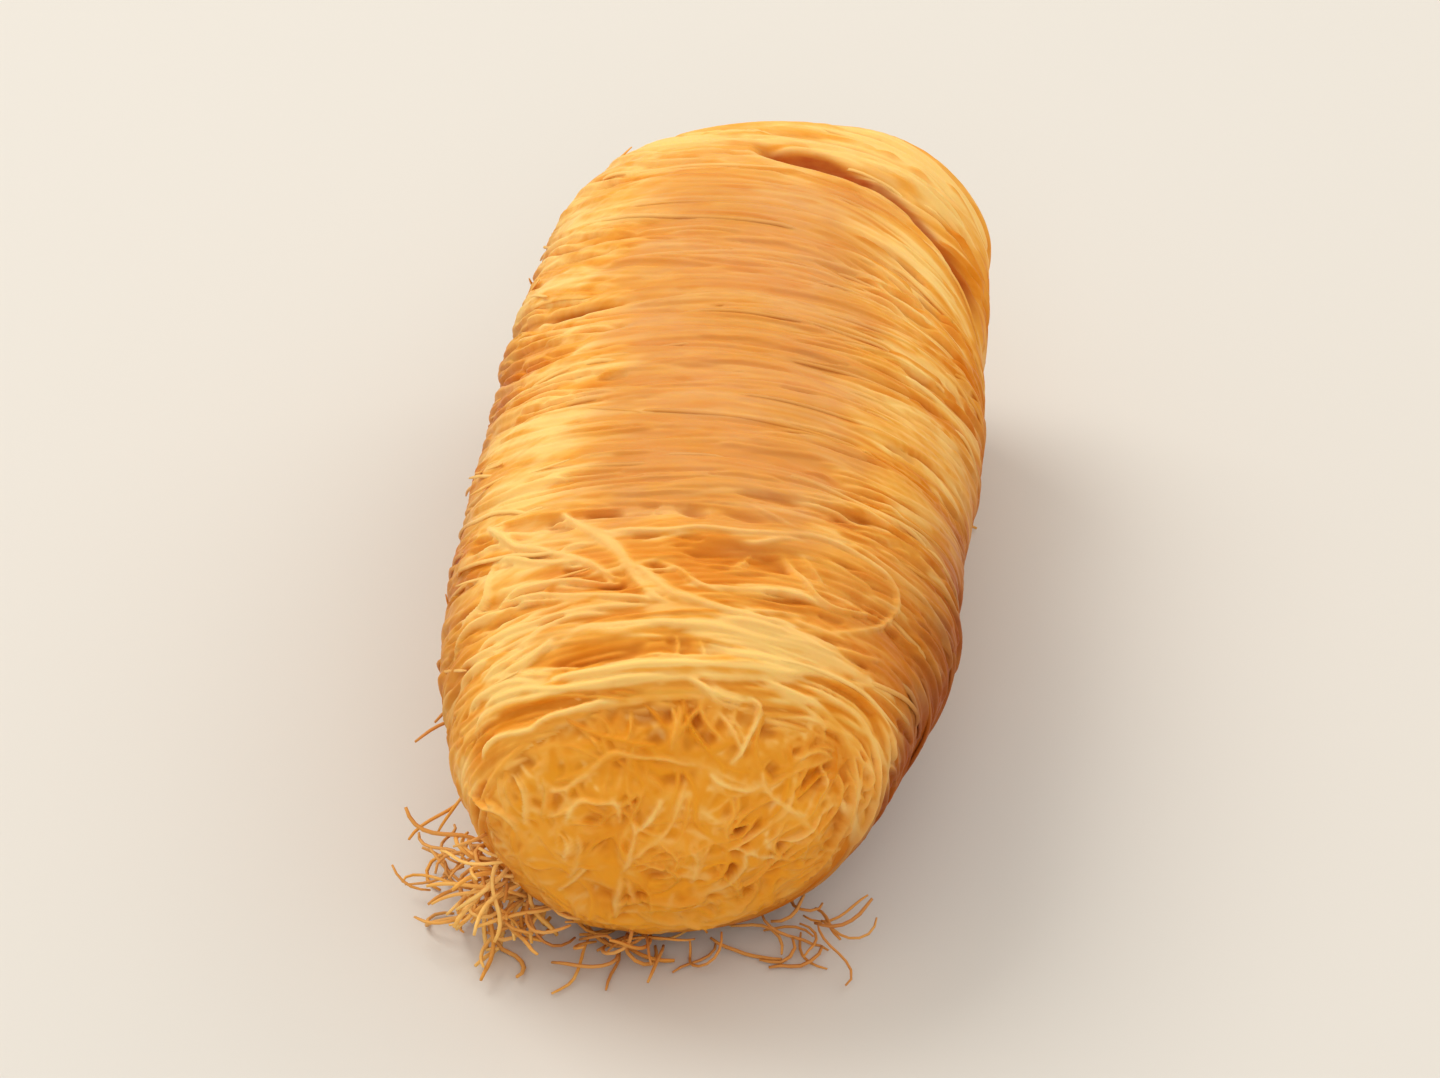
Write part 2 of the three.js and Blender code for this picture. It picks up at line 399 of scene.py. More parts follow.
def split_shade_at(v, a):
    """1 in the split, painted reddish-brown shade where the inside of the turn lies in shadow; the far wall shows most
    near the top.
    """
    along, within, deg = split_line(a)
    d = y_of_v(v) - along - 0.4
    low = smooth((66 - deg) / 12)
    slit = 0.85 * np.exp(-((d - 0.25 * low) / (0.42 + 0.16 * low)) ** 2)
    half = 0.08 + 0.5 * np.exp(-((deg - 76) / 11) ** 2)
    wall = smooth((deg - 50) / 12) * np.exp(-(np.maximum(np.abs(d - 0.15) - half, 0) / 0.25) ** 2)
    return within * np.maximum(slit, wall)


def lay_wound(v0, a0, span, slope, wig, h, r, tint, dive=0.7, run=3.0):
    v, a, s = wound_path(v0, a0, span, slope, wig, 0.13)
    if len(s) < 8:
        return
    e = np.minimum(s, s[-1] - s)
    hh = h + lift(v0, a) - dive * (1 - smooth(e / run)) - 0.22 * smooth((15.5 - v) / 3)
    ok = (v > 7.0) & (v < V_END - 7.0)
    if ok.sum() < 4:
        return
    v, a, hh = v[ok], a[ok], hh[ok]
    body.lay(v / DV, np.mod(a, TAU) / TAU * NA, np.maximum(radius_at(v) * TAU / NA, 0.05), hh, r, tint)


V_LO, V_HI = 6.0, V_END - 5.0
# the strands beneath, then the ones that show
for i in range(620):
    lay_wound(rng.uniform(V_LO - 6, V_HI), rng.uniform(0, TAU), rng.uniform(1.0, 3.2), rng.normal(0, 0.03), 0.06,
              rng.uniform(-0.72, -0.42), rng.uniform(0.24, 0.34), rng.uniform(0.1, 0.5))
for i in range(430):
    v0, a0 = rng.uniform(V_LO - 5, V_HI), rng.uniform(0, TAU)
    sp, sl, hb, tb = rng.uniform(0.5, 2.2), rng.normal(0, 0.035), rng.uniform(-0.42, -0.12), rng.uniform(0.2, 0.9)
    for j in range(int(rng.integers(2, 5))):
        lay_wound(v0 + j * rng.uniform(0.4, 0.55), a0 + rng.normal(0, 0.15), sp * rng.uniform(0.7, 1.2), sl + rng.normal(0, 0.012),
                  0.05, hb + rng.normal(0, 0.05), rng.uniform(0.2, 0.3), np.clip(tb + rng.normal(0, 0.14), 0, 1))
body.flush()

# lens-shaped gaps between bundles: (y at the first end, degrees), (y at the other, degrees), half width, depth
GAPS = [
    ((14.9, 125), (13.2, 113), .34, .45), ((8.2, 117), (7.3, 111), .25, .35), ((6.8, 104), (6.4, 98), .25, .35),
    ((9.3, 145), (6.2, 116), .42, .55), ((5.5, 114), (4.0, 96), .28, .38), ((4.0, 96), (5.8, 78), .22, .28),
    ((-1.2, 107), (-1.4, 98), .24, .32), ((-1.7, 121), (-2.6, 111), .30, .60), ((-3.9, 109), (-4.1, 106), .22, .55),
    ((-3.8, 100), (-3.9, 94), .2, .3), ((-6.1, 127), (-6.3, 121), .28, .5), ((-7.5, 107), (-8.1, 98), .26, .38),
    ((-4.1, 76), (-3.1, 65), .2, .28), ((2.3, 63), (3.4, 58), .2, .28), ((10.5, 65), (11.8, 46), .26, .5),
    ((17.2, 63), (16.8, 51), .2, .42), ((16.8, 51), (16.3, 39), .22, .45), ((2.0, 41), (3.7, 27), .34, .6),
    ((-4.8, 49), (-3.7, 37), .32, .5), ((-10.2, 54), (-8.6, 35), .32, .5), ((-14.8, 60), (-12.7, 48), .4, .5),
    ((-10.9, 96), (-10.6, 85), .2, .26), ((-10.9, 113), (-11.6, 103), .28, .3), ((-14.55, 82), (-14.2, 66), .26, .5),
    ((-16.2, 94), (-16.9, 87), .32, .7), ((-15.8, 117), (-16.3, 107), .32, .6), ((-15.7, 104), (-15.9, 98), .22, .5),
    ((-16.5, 83), (-16.7, 74), .24, .5), ((-13.2, 123), (-14.1, 116), .24, .4), ((13.0, 133), (10.2, 115), .22, .3),
    ((13.8, 73), (14.0, 66), .24, .35), ((8.5, 91), (9.7, 71), .2, .25), ((8.9, 43), (9.8, 34), .26, .4),
    ((2.6, 50), (5.4, 35), .22, .35), ((-1.0, 41), (0.2, 25), .24, .4), ((7.7, 145), (5.2, 131), .26, .35),
    ((4.8, 155), (5.3, 148), .5, .6),
]
# the same between the looser strands towards the front
FRONT_GAPS = [
    ((-26.4, 127), (-26.6, 97), 0.66, 0.52),
    ((-26.5, 94), (-26.6, 86), 0.50, 0.40),
    ((-19.9, 93), (-19.8, 62), 0.80, 0.85),
    ((-18.3, 105), (-18.5, 97), 0.22, 0.45),
    ((-18.4, 95), (-18.7, 87), 0.24, 0.45),
    ((-15.3, 118), (-16.3, 106), 0.35, 0.55),
    ((-14.7, 128), (-16.7, 119), 0.50, 0.50),
    ((-15.9, 93), (-16.6, 87), 0.34, 0.50),
    ((-14.5, 58), (-12.4, 48), 0.50, 0.50),
    ((-19.2, 122), (-20.3, 114), 0.40, 0.80),
    ((-21.5, 113), (-22.1, 104), 0.26, 0.85),
    ((-20.6, 100), (-21.1, 95), 0.26, 0.60),
    ((-23.9, 98), (-24.6, 82), 0.26, 0.55),
    ((-23.0, 82), (-21.9, 58), 0.40, 0.50),
    ((-19.7, 140), (-21.4, 127), 0.26, 0.50),
    ((-28.0, 113), (-28.2, 102), 0.32, 0.50),
    ((-28.9, 77), (-29.2, 67), 0.32, 0.60),
    ((-22.8, 57), (-22.4, 49), 0.26, 0.50),
    ((-24.5, 56), (-24.3, 48), 0.24, 0.60),
    ((-24.8, 47), (-24.4, 38), 0.24, 0.70),
    ((-17.9, 56), (-18.8, 39), 0.60, 0.22),
    ((-20.3, 149), (-21.4, 135), 0.24, 0.40),
    ((-20.2, 157), (-20.9, 146), 0.22, 0.40),
    ((-20.3, 37), (-20.9, 21), 0.50, 0.25),
]
gap_r = np.random.default_rng(77)
for i in range(120):
    y1 = gap_r.uniform(-27, 30)
    d1 = gap_r.uniform(-80, 260)
    d2 = d1 + gap_r.uniform(5, 17)
    v1 = v_of_y(y1)
    y2 = float(y1 + lean(v1, np.radians(d2)) - lean(v1, np.radians(d1)) + gap_r.normal(0, 0.25))
    if y1 < -12 and 25 < d1 < 160:
        continue
    loose = 1.0 if y1 < -15 else 0.0
    inband = 0.6 if 55 < d1 < 118 else 1.0
    GAPS.append(((y1, d1), (y2, d2), gap_r.uniform(0.14, 0.27) + 0.08 * loose, inband * (gap_r.uniform(0.2, 0.42) + 0.25 * loose)))

gv, ga = np.arange(NV)[:, None] * DV, (np.arange(NA) * TAU / NA)[None, :]


def cut_gaps(gaps, share):
    pits = np.zeros((NV, NA), np.float32)
    for (y1, d1), (y2, d2), half, depth in gaps:
        y1, y2 = np.clip(y1, -32, 32), np.clip(y2, -32, 32)
        v1, v2 = v_of_y(y1), v_of_y(y2)
        a1, a2 = math.radians(d1), math.radians(d2)
        vm, am, R = (v1 + v2) / 2, (a1 + a2) / 2, float(radius_at((v1 + v2) / 2))
        L = max(0.6, math.hypot(v2 - v1, (a2 - a1) * R) / 2)
        ux, uy = (a2 - a1) * R / (2 * L), (v2 - v1) / (2 * L)
        lo, hi = int(max(0, (vm - L - 2) / DV)), int(min(NV, (vm + L + 2) / DV))
        rows = gv[lo:hi]
        da = (np.mod(ga - am + math.pi, TAU) - math.pi) * R
        dv = rows - vm
        s = (da * ux + dv * uy) / L
        bend = 0.25 * np.sin(s * 2.1 + d1) * half
        d = (-da * uy + dv * ux - bend) / half
        env = np.clip(1 - s * s, 0, 1)
        pit = depth * np.exp(-(d / np.maximum(0.25, env ** 0.7)) ** 2) * smooth(env * 1.8)
        pits[lo:hi] = np.maximum(pits[lo:hi], pit)
    body.h = np.maximum((body.grid() - pits * share).ravel(), DEEP - 0.25)
    return pits


placed = cut_gaps(GAPS, 0.75)



def loose_part(v, a):
    """The upper side of the front third, where the strands lie loose."""
    return 11 < v < 27 and 20 < math.degrees(a) % 360 < 160


# strands on top that bridge the gaps here and there
for i in range(330):
    v0, a0 = rng.uniform(V_LO, V_HI), rng.uniform(0, TAU)
    sl, hb, tb = rng.normal(0, 0.07), rng.uniform(-0.22, 0.02), rng.uniform(0.35, 1.0)
    sp = rng.uniform(0.25, 1.3)
    if loose_part(v0, a0):
        hb, tb, sp = hb - 0.16, tb * 0.7, sp * 0.6
    for j in range(int(rng.integers(1, 4))):
        lay_wound(v0 + j * rng.uniform(0.38, 0.5), a0 + rng.normal(0, 0.1), sp * rng.uniform(0.7, 1.2), sl + rng.normal(0, 0.02),
                  0.07, hb + rng.normal(0, 0.04), rng.uniform(0.17, 0.25), np.clip(tb + rng.normal(0, 0.12), 0, 1))
body.flush()


# ------------------------------------------------------------------------ bundles as they lie over the front third
def spline(ctrl, step):
    """Catmull-Rom through (v, a) control points, sampled about every step mm."""
    c = np.array(ctrl, float)
    c = np.concatenate([2 * c[:1] - c[1:2], c, 2 * c[-1:] - c[-2:-1]])
    out = []
    for i in range(1, len(c) - 2):
        d = math.hypot(c[i + 1, 0] - c[i, 0], (c[i + 1, 1] - c[i, 1]) * float(radius_at(c[i, 0])))
        n = max(2, int(d / step))
        t = np.linspace(0, 1, n, endpoint=False)[:, None]
        p0, p1, p2, p3 = c[i - 1], c[i], c[i + 1], c[i + 2]
        out.append(0.5 * ((2 * p1) + (-p0 + p2) * t + (2 * p0 - 5 * p1 + 4 * p2 - p3) * t ** 2
                          + (-p0 + 3 * p1 - 3 * p2 + p3) * t ** 3))
    out.append(c[-2][None])
    return np.concatenate(out)



# each strand: (y, degrees) along it, width, tint, how many finer ones lie fused beside it
FRONT = [
    ([(-13.8, 125), (-15.2, 122), (-16.6, 117), (-17.9, 112), (-19.1, 108), (-20.8, 105), (-22.0, 102), (-23.2, 98), (-23.7, 94), (-24.1, 89)], 0.50, 1.00, 1),
    ([(-17.3, 114), (-18.4, 109), (-19.6, 106), (-21.3, 103), (-22.8, 100)], 0.45, 0.95, 0),
    ([(-17.3, 114), (-17.8, 106), (-18.1, 96), (-17.8, 88), (-17.9, 78), (-17.5, 70), (-16.8, 63), (-16.6, 57), (-16.6, 51), (-16.7, 45), (-17.0, 40), (-17.7, 37), (-19.1, 36), (-20.9, 39), (-22.7, 46), (-23.8, 53), (-24.2, 58)], 0.42, 0.95, 0),
    ([(-18.8, 69), (-19.6, 66), (-20.6, 62), (-21.6, 58), (-21.8, 53), (-21.1, 46), (-19.8, 39)], 0.36, 0.85, 0),
    ([(-18.2, 66), (-19.2, 62), (-20.1, 58), (-21.0, 54)], 0.34, 0.80, 0),
    ([(-18.5, 81), (-18.6, 75), (-17.9, 69), (-17.4, 62)], 0.50, 1.00, 1),
    ([(-11.6, 149), (-14.4, 140), (-16.2, 134), (-18.0, 125), (-19.1, 118), (-20.1, 113), (-21.4, 109)], 0.50, 1.00, 1),
    ([(-15.4, 145), (-17.5, 133), (-18.9, 123), (-19.6, 115), (-20.9, 110), (-21.5, 106)], 0.42, 1.00, 0),
    ([(-19.5, 143), (-19.5, 139), (-19.7, 133), (-20.3, 125), (-21.1, 116), (-21.7, 107)], 0.45, 1.00, 1),
    ([(-19.6, 141), (-20.7, 129), (-21.9, 119), (-22.8, 110), (-23.3, 101), (-23.7, 94)], 0.45, 0.95, 1),
    ([(-22.4, 91), (-22.6, 83), (-22.5, 74), (-22.0, 66), (-21.8, 60), (-21.9, 54)], 0.50, 1.00, 1),
    ([(-19.9, 108), (-20.9, 102), (-21.9, 98), (-23.1, 93), (-23.5, 89), (-24.1, 83), (-24.3, 78), (-24.4, 71), (-24.3, 64), (-24.2, 58)], 0.48, 1.00, 1),
    ([(-20.6, 97), (-21.3, 92), (-22.2, 88), (-22.8, 83), (-22.7, 76)], 0.40, 0.90, 0),
    ([(-18.2, 96), (-19.4, 96), (-20.4, 97)], 0.30, 0.80, 0),
    ([(-19.9, 167), (-19.3, 162), (-19.2, 154), (-19.8, 145), (-20.4, 137)], 0.42, 0.90, 0),
    ([(-18.3, 162), (-18.5, 156), (-18.5, 148), (-17.6, 145), (-16.0, 144), (-15.2, 140)], 0.42, 0.90, 0),
    ([(-21.5, 155), (-21.7, 147), (-22.2, 139), (-22.9, 130), (-23.0, 124), (-23.2, 118), (-23.5, 111), (-23.8, 102), (-23.9, 96)], 0.45, 0.90, 1),
    ([(-24.0, 136), (-23.6, 130), (-23.6, 122), (-23.8, 114), (-24.1, 106)], 0.45, 0.95, 1),
    ([(-25.4, 126), (-25.0, 121), (-24.7, 114), (-24.9, 108), (-25.1, 101), (-25.2, 93), (-25.4, 85), (-25.5, 77), (-25.6, 68), (-25.4, 59), (-25.3, 50), (-25.2, 43), (-24.8, 35), (-24.3, 28)], 0.50, 1.00, 1),
    ([(-24.8, 85), (-24.8, 78), (-24.9, 71), (-24.9, 64), (-24.9, 57)], 0.50, 0.95, 1),
    ([(-26.9, 130), (-27.3, 119), (-27.5, 112), (-27.6, 103), (-27.7, 94), (-27.6, 86), (-27.5, 76), (-27.3, 68), (-27.1, 60), (-26.3, 50)], 0.45, 1.00, 0),
    ([(-27.6, 126), (-27.9, 119), (-28.1, 113), (-28.2, 106), (-28.3, 94), (-28.3, 86)], 0.42, 0.90, 0),
    ([(-26.5, 82), (-26.8, 74), (-26.7, 67), (-26.5, 59), (-26.3, 51), (-26.1, 44)], 0.50, 1.00, 1),
    ([(-24.9, 147), (-25.1, 139), (-25.3, 132), (-24.9, 126), (-24.4, 123), (-24.0, 119)], 0.50, 1.00, 1),
    ([(-24.1, 153), (-24.2, 145), (-24.4, 137), (-24.3, 131)], 0.42, 0.90, 0),
    ([(-24.8, 161), (-24.8, 155), (-25.4, 145), (-26.3, 135), (-27.3, 126)], 0.45, 0.90, 0),
    ([(-25.6, 155), (-26.0, 146), (-26.7, 137), (-27.6, 126), (-28.2, 114), (-28.5, 102)], 0.45, 0.90, 0),
    ([(-28.1, 92), (-28.4, 86), (-28.8, 81), (-29.3, 77), (-29.3, 70)], 0.42, 0.90, 0),
    ([(-27.7, 71), (-27.9, 63), (-27.9, 55), (-27.9, 47), (-27.9, 41)], 0.45, 0.95, 0),
    ([(-25.4, 50), (-25.2, 43), (-24.9, 34), (-24.3, 25), (-24.4, 19)], 0.45, 0.90, 1),
    ([(-26.3, 50), (-25.8, 41), (-24.9, 33), (-24.3, 25)], 0.42, 0.85, 0),
    ([(-26.1, 91), (-26.8, 90), (-27.6, 91)], 0.32, 0.70, 0),
    ([(-26.2, 85), (-27.1, 83), (-27.5, 84)], 0.36, 0.80, 0),
    ([(-14.8, 84), (-15.7, 76), (-16.5, 69), (-16.8, 63)], 0.42, 0.85, 0),
    ([(-14.3, 103), (-14.2, 96), (-14.1, 89.5), (-13.95, 84), (-13.8, 76), (-13.65, 69), (-13.4, 62)], 0.55, 0.55, 0),
    ([(-12.7, 61), (-12.4, 54), (-12.4, 46), (-11.8, 37)], 0.42, 0.85, 0),
    ([(-10.8, 52), (-10.6, 45), (-10.1, 37)], 0.42, 0.85, 0),
    ([(-15.0, 48), (-14.8, 41), (-14.4, 35)], 0.42, 0.80, 0),
    ([(-24.6, 53), (-24.2, 45), (-23.5, 38), (-22.1, 31)], 0.36, 0.60, 0),
    ([(-25.6, 46), (-24.9, 39), (-23.8, 33)], 0.34, 0.50, 0),
    ([(-17.4, 102), (-16.3, 100), (-15.3, 97)], 0.32, 0.80, 0),
    ([(-15.7, 122), (-16.7, 117), (-17.7, 111), (-17.9, 104)], 0.40, 0.90, 0),
    ([(-18.5, 128), (-18.1, 121), (-18.1, 116), (-18.4, 111)], 0.40, 0.90, 0),
    ([(-20.8, 163), (-21.8, 154), (-22.4, 146), (-23.0, 137)], 0.40, 0.85, 0),
    ([(-22.0, 166), (-22.6, 155), (-23.1, 147), (-23.4, 140)], 0.40, 0.85, 0),
    ([(-18.2, 38), (-18.7, 34), (-18.6, 30)], 0.34, 0.70, 0),
    ([(-24.1, 82), (-24.1, 74), (-23.6, 65), (-23.1, 58)], 0.36, 0.75, 0),
    ([(-19.9, 78), (-20.9, 80), (-20.3, 78), (-19.4, 76)], 0.30, 0.90, 0),
]
# broad flat bundles round the rim of the front end: (y, degrees) along them, width, tint
BROAD = [
    ([(-24.3, 104), (-24.4, 92), (-24.7, 82), (-24.9, 72), (-25.0, 62), (-24.9, 52), (-24.4, 42)], 1.4, 1.00),
    ([(-25.4, 92), (-25.7, 84), (-25.9, 76), (-26.0, 66), (-25.9, 56), (-25.5, 46), (-24.8, 38)], 1.2, 1.10),
    ([(-26.8, 84), (-26.9, 72), (-26.8, 62), (-26.3, 52)], 0.9, 0.95),
    ([(-27.3, 127), (-27.7, 116), (-27.9, 105), (-28.0, 94), (-27.9, 84), (-27.7, 74), (-27.3, 62), (-26.8, 52)], 1.2, 1.10),
    ([(-23.9, 154), (-24.8, 145), (-25.9, 136), (-26.9, 127), (-27.5, 119)], 1.3, 1.05),
    ([(-23.4, 139), (-24.0, 129), (-24.6, 118), (-25.2, 108), (-25.3, 98), (-25.2, 90)], 1.1, 0.90),
    ([(-23.6, 98), (-23.6, 88), (-23.4, 78), (-23.0, 68)], 1.0, 0.85),
    ([(-17.6, 90), (-17.8, 80), (-17.5, 70), (-17.0, 60)], 0.9, 0.95),
]
# strands at random crossing at small angles, then the gaps between them, then the ones that show
rx = np.random.default_rng(62)
for i in range(150):
    v0, a0 = rx.uniform(13.0, 27), math.radians(rx.uniform(-60, 240))
    on_top = loose_part(v0, a0)
    if on_top and i % 3:
        continue
    lay_wound(v0, a0, rx.uniform(0.25, 1.1), rx.normal(0, 0.15), 0.13, rx.uniform(-0.12, 0.16) - 0.12 * on_top,
              rx.uniform(0.16, 0.22), rx.uniform(0.45, 1.0), dive=0.45, run=1.6)
for i in range(40):
    lay_wound(rx.uniform(9.0, 14.5), math.radians(rx.uniform(-70, 250)), rx.uniform(0.3, 1.2), rx.normal(0, 0.06), 0.12,
              rx.uniform(-0.3, 0.0), rx.uniform(0.17, 0.23), rx.uniform(0.4, 0.9), dive=0.45, run=1.6)
body.flush()
placed = np.maximum(placed, cut_gaps(FRONT_GAPS, 0.9))
# painted shade: what lies under the loose strands is coloured deeper
under_shade = smooth((gv - 11.5) / 3) * smooth((28 - gv) / 5) * smooth((84 - np.abs(np.degrees(ga) - 92)) / 20)
under_shade = under_shade * (1 - 0.85 * np.exp(-((gv - v_of_y(-19.8)) / 3.0) ** 2 - ((np.degrees(ga) - 51) / 15) ** 2))
body.t = (body.t.reshape(NV, NA) * (1 - 0.95 * under_shade)).astype(np.float32).ravel()


def lay_traced(v, a, h, width, tint, r, ragged=2.6, rim=0.0):
    """Stamp a strand given by its control points (v, a)."""
    va = spline(list(zip(v, a)), 0.1)
    v, a = va[:, 0], va[:, 1]
    s_ = np.concatenate([[0], np.cumsum(np.hypot(np.diff(v), np.diff(a) * np.maximum(radius_at(v)[1:], 1)))])
    v = v + 0.05 * np.sin(s_ / 1.3 + r.uniform(0, 6)) + 0.03 * np.sin(s_ / 0.7 + r.uniform(0, 6))
    e = np.minimum(s_, s_[-1] - s_)
    hh = h + 0.05 * np.sin(s_ / 2.2 + r.uniform(0, 6)) - 0.5 * (1 - smooth(e / ragged))
    hh = hh + rim * smooth((v - 10) / 2)
    rad = width / 2 * (1 + 0.08 * np.sin(s_ / 1.7 + r.uniform(0, 6))) * (0.5 + 0.5 * smooth(e / ragged))
    ok = (v > 7.5) & (v < V_END - 7.5)
    if ok.sum() > 3:
        body.lay(v[ok] / DV, np.mod(a[ok], TAU) / TAU * NA, np.maximum(radius_at(v[ok]) * TAU / NA, 0.05), hh[ok], rad[ok], tint)
    x, y = v * np.cos(a), v * np.sin(a)
    hh = hh - rim * smooth((v - 10) / 2)
    ok = v < 14.2
    if ok.sum() > 3:
        ends[0].lay((y[ok] + FH) / FC, (x[ok] + FH) / FC, FC, hh[ok], rad[ok], tint)


def lay_fine(v0, a0, span, slope, h, width, tint, r):
    """A fine strand that keeps out of the hollows."""
    va = np.stack([np.zeros(7), a0 + np.linspace(-0.5, 0.5, 7) * span], 1)
    run_ = (va[:, 1] - a0) * 14.5
    va[:, 0] = flow(v0, va[:, 1]) + slope * run_ + 0.10 * np.sin(run_ / 2.1 + r.uniform(0, 6)) + 0.05 * np.sin(run_ / 0.9 + r.uniform(0, 6))
    i = np.clip((va[:, 0] / DV).astype(int), 0, NV - 1)
    j = np.mod((va[:, 1] / TAU * NA).astype(int), NA)
    if placed[i, j].max() > 0.3:
        return
    lay_traced(va[:, 0], va[:, 1], h, width, tint, r, 1.6)


# small groups of them all over, more towards the front
rf = np.random.default_rng(640)
for i in range(640):
    front = i < 260
    v0, deg = (rf.uniform(12.0, 27.5), rf.uniform(10, 205)) if front else (rf.uniform(26, V_END - 11), rf.uniform(-40, 220))
    hb, tb, slope = rf.uniform(-0.2, 0.0), rf.uniform(0.1, 0.8) - 0.3 * float(smooth((62 - deg) / 30)), rf.normal(0, 0.06)
    if front and 45 < deg < 150 and rf.uniform() < 0.35:
        continue
    for j in range(int(rf.integers(1, 4))):
        lay_fine(v0 + j * rf.uniform(0.26, 0.38), math.radians(deg) + rf.normal(0, 0.08), rf.uniform(0.2, 0.75), slope + rf.normal(0, 0.03),
                 hb + rf.normal(0, 0.04), rf.uniform(0.24, 0.33), np.clip(tb + rf.normal(0, 0.15), 0, 1), rf)
body.flush()
for nb, (points, width, tint) in enumerate(BROAD):
    r = np.random.default_rng(850 + nb)
    lay_traced(np.array([float(v_of_y(y)) for y, d in points]), np.radians([d for y, d in points]), -0.08, width, tint - 0.3, r)
body.flush(0.3)
ends[0].flush(0.3)
for nb, (points, width, tint) in enumerate(BROAD):
    r = np.random.default_rng(870 + nb)
    v, a, at = np.array([float(v_of_y(y)) for y, d in points]), np.radians([d for y, d in points]), np.linspace(0, 1, len(points))
    # the finer strands such a bundle is made of
    for off in np.linspace(-0.46, 0.46, int(width / 0.19)):
        t = np.linspace(r.uniform(0, 0.25), r.uniform(0.75, 1), len(points))
        lay_traced(np.interp(t, at, v) + off * width + r.normal(0, 0.06, len(points)), np.interp(t, at, a),
                   r.uniform(-0.02, 0.16) - 0.5 * off ** 2, r.uniform(0.23, 0.34), tint - r.uniform(0.1, 0.9), r)
for nb, (points, width, tint, beside) in enumerate(FRONT):
    r = np.random.default_rng(900 + nb)
    v = np.array([float(v_of_y(y)) for y, d in points])
    a = np.radians([d for y, d in points])
    lay_traced(v, a, r.uniform(0.14, 0.28), 0.94 * width, tint, r)
    for j in range(beside + 1):
        k0, k1 = sorted(r.uniform(0, 1, 2))
        if k1 - k0 < 0.4:
            k0, k1 = max(0.0, k0 - 0.3), min(1.0, k1 + 0.3)
        t = np.linspace(k0, k1, len(v))
        at = np.linspace(0, 1, len(v))
        off = r.choice([-1, 1]) * r.uniform(0.26, 0.42)
        lay_traced(np.interp(t, at, v) + off + r.normal(0, 0.05, len(v)), np.interp(t, at, a), r.uniform(-0.14, 0.04),
                   r.uniform(0.26, 0.36), np.clip(tint - r.uniform(0.0, 0.3), 0, 1), r)
body.flush()
# gaps that stay open between the topmost strands
LATE_GAPS = [
    ((-14.55, 82), (-14.2, 66), 0.24, 0.60), ((-15.8, 96), (-17.0, 87), 0.30, 0.60), ((-16.3, 85), (-16.8, 73), 0.24, 0.50),
]
cut_gaps(LATE_GAPS, 0.9)


# ------------------------------------------------------------------------ end faces: nets of short curly strands
def curly(p0, q0, heading, length, curl, wig, r, step=0.1):
    n = max(8, int(length / step))
    s = np.linspace(0, length, n)
    ds = s[1]
    ph = r.uniform(0, TAU, 3)
    th = heading + curl * s + wig * (np.sin(s / 1.1 + ph[0]) + 0.8 * np.sin(s / 2.1 + ph[1]) + 0.3 * np.sin(s / 0.6 + ph[2]))
    x = p0 + np.concatenate([[0], np.cumsum(np.cos(th[:-1]) * ds)])
    y = q0 + np.concatenate([[0], np.cumsum(np.sin(th[:-1]) * ds)])
    return x, y, s


def end_net(which, count, seed, h_lo, h_hi, r_lo, r_hi, reach, tint, length=(3, 9)):
    r = np.random.default_rng(seed)
    f = ends[which]
    for i in range(count):
        rad, phi = reach * math.sqrt(r.uniform(0, 1)), r.uniform(0, TAU)
        x, y, s = curly(rad * math.cos(phi), rad * math.sin(phi), r.uniform(0, TAU), r.uniform(*length), r.normal(0, 0.13),
                        r.uniform(0.12, 0.4), r)
        e = np.minimum(s, s[-1] - s)
        h = r.uniform(h_lo, h_hi) + 0.08 * np.sin(s / 0.8 + r.uniform(0, 6)) - 0.45 * (1 - smooth(e / 1.3))
        keep = np.hypot(x, y) < 14.2
        f.lay((y[keep] + FH) / FC, (x[keep] + FH) / FC, FC, h[keep], r.uniform(r_lo, r_hi), np.clip(r.normal(tint, 0.2), 0, 1))


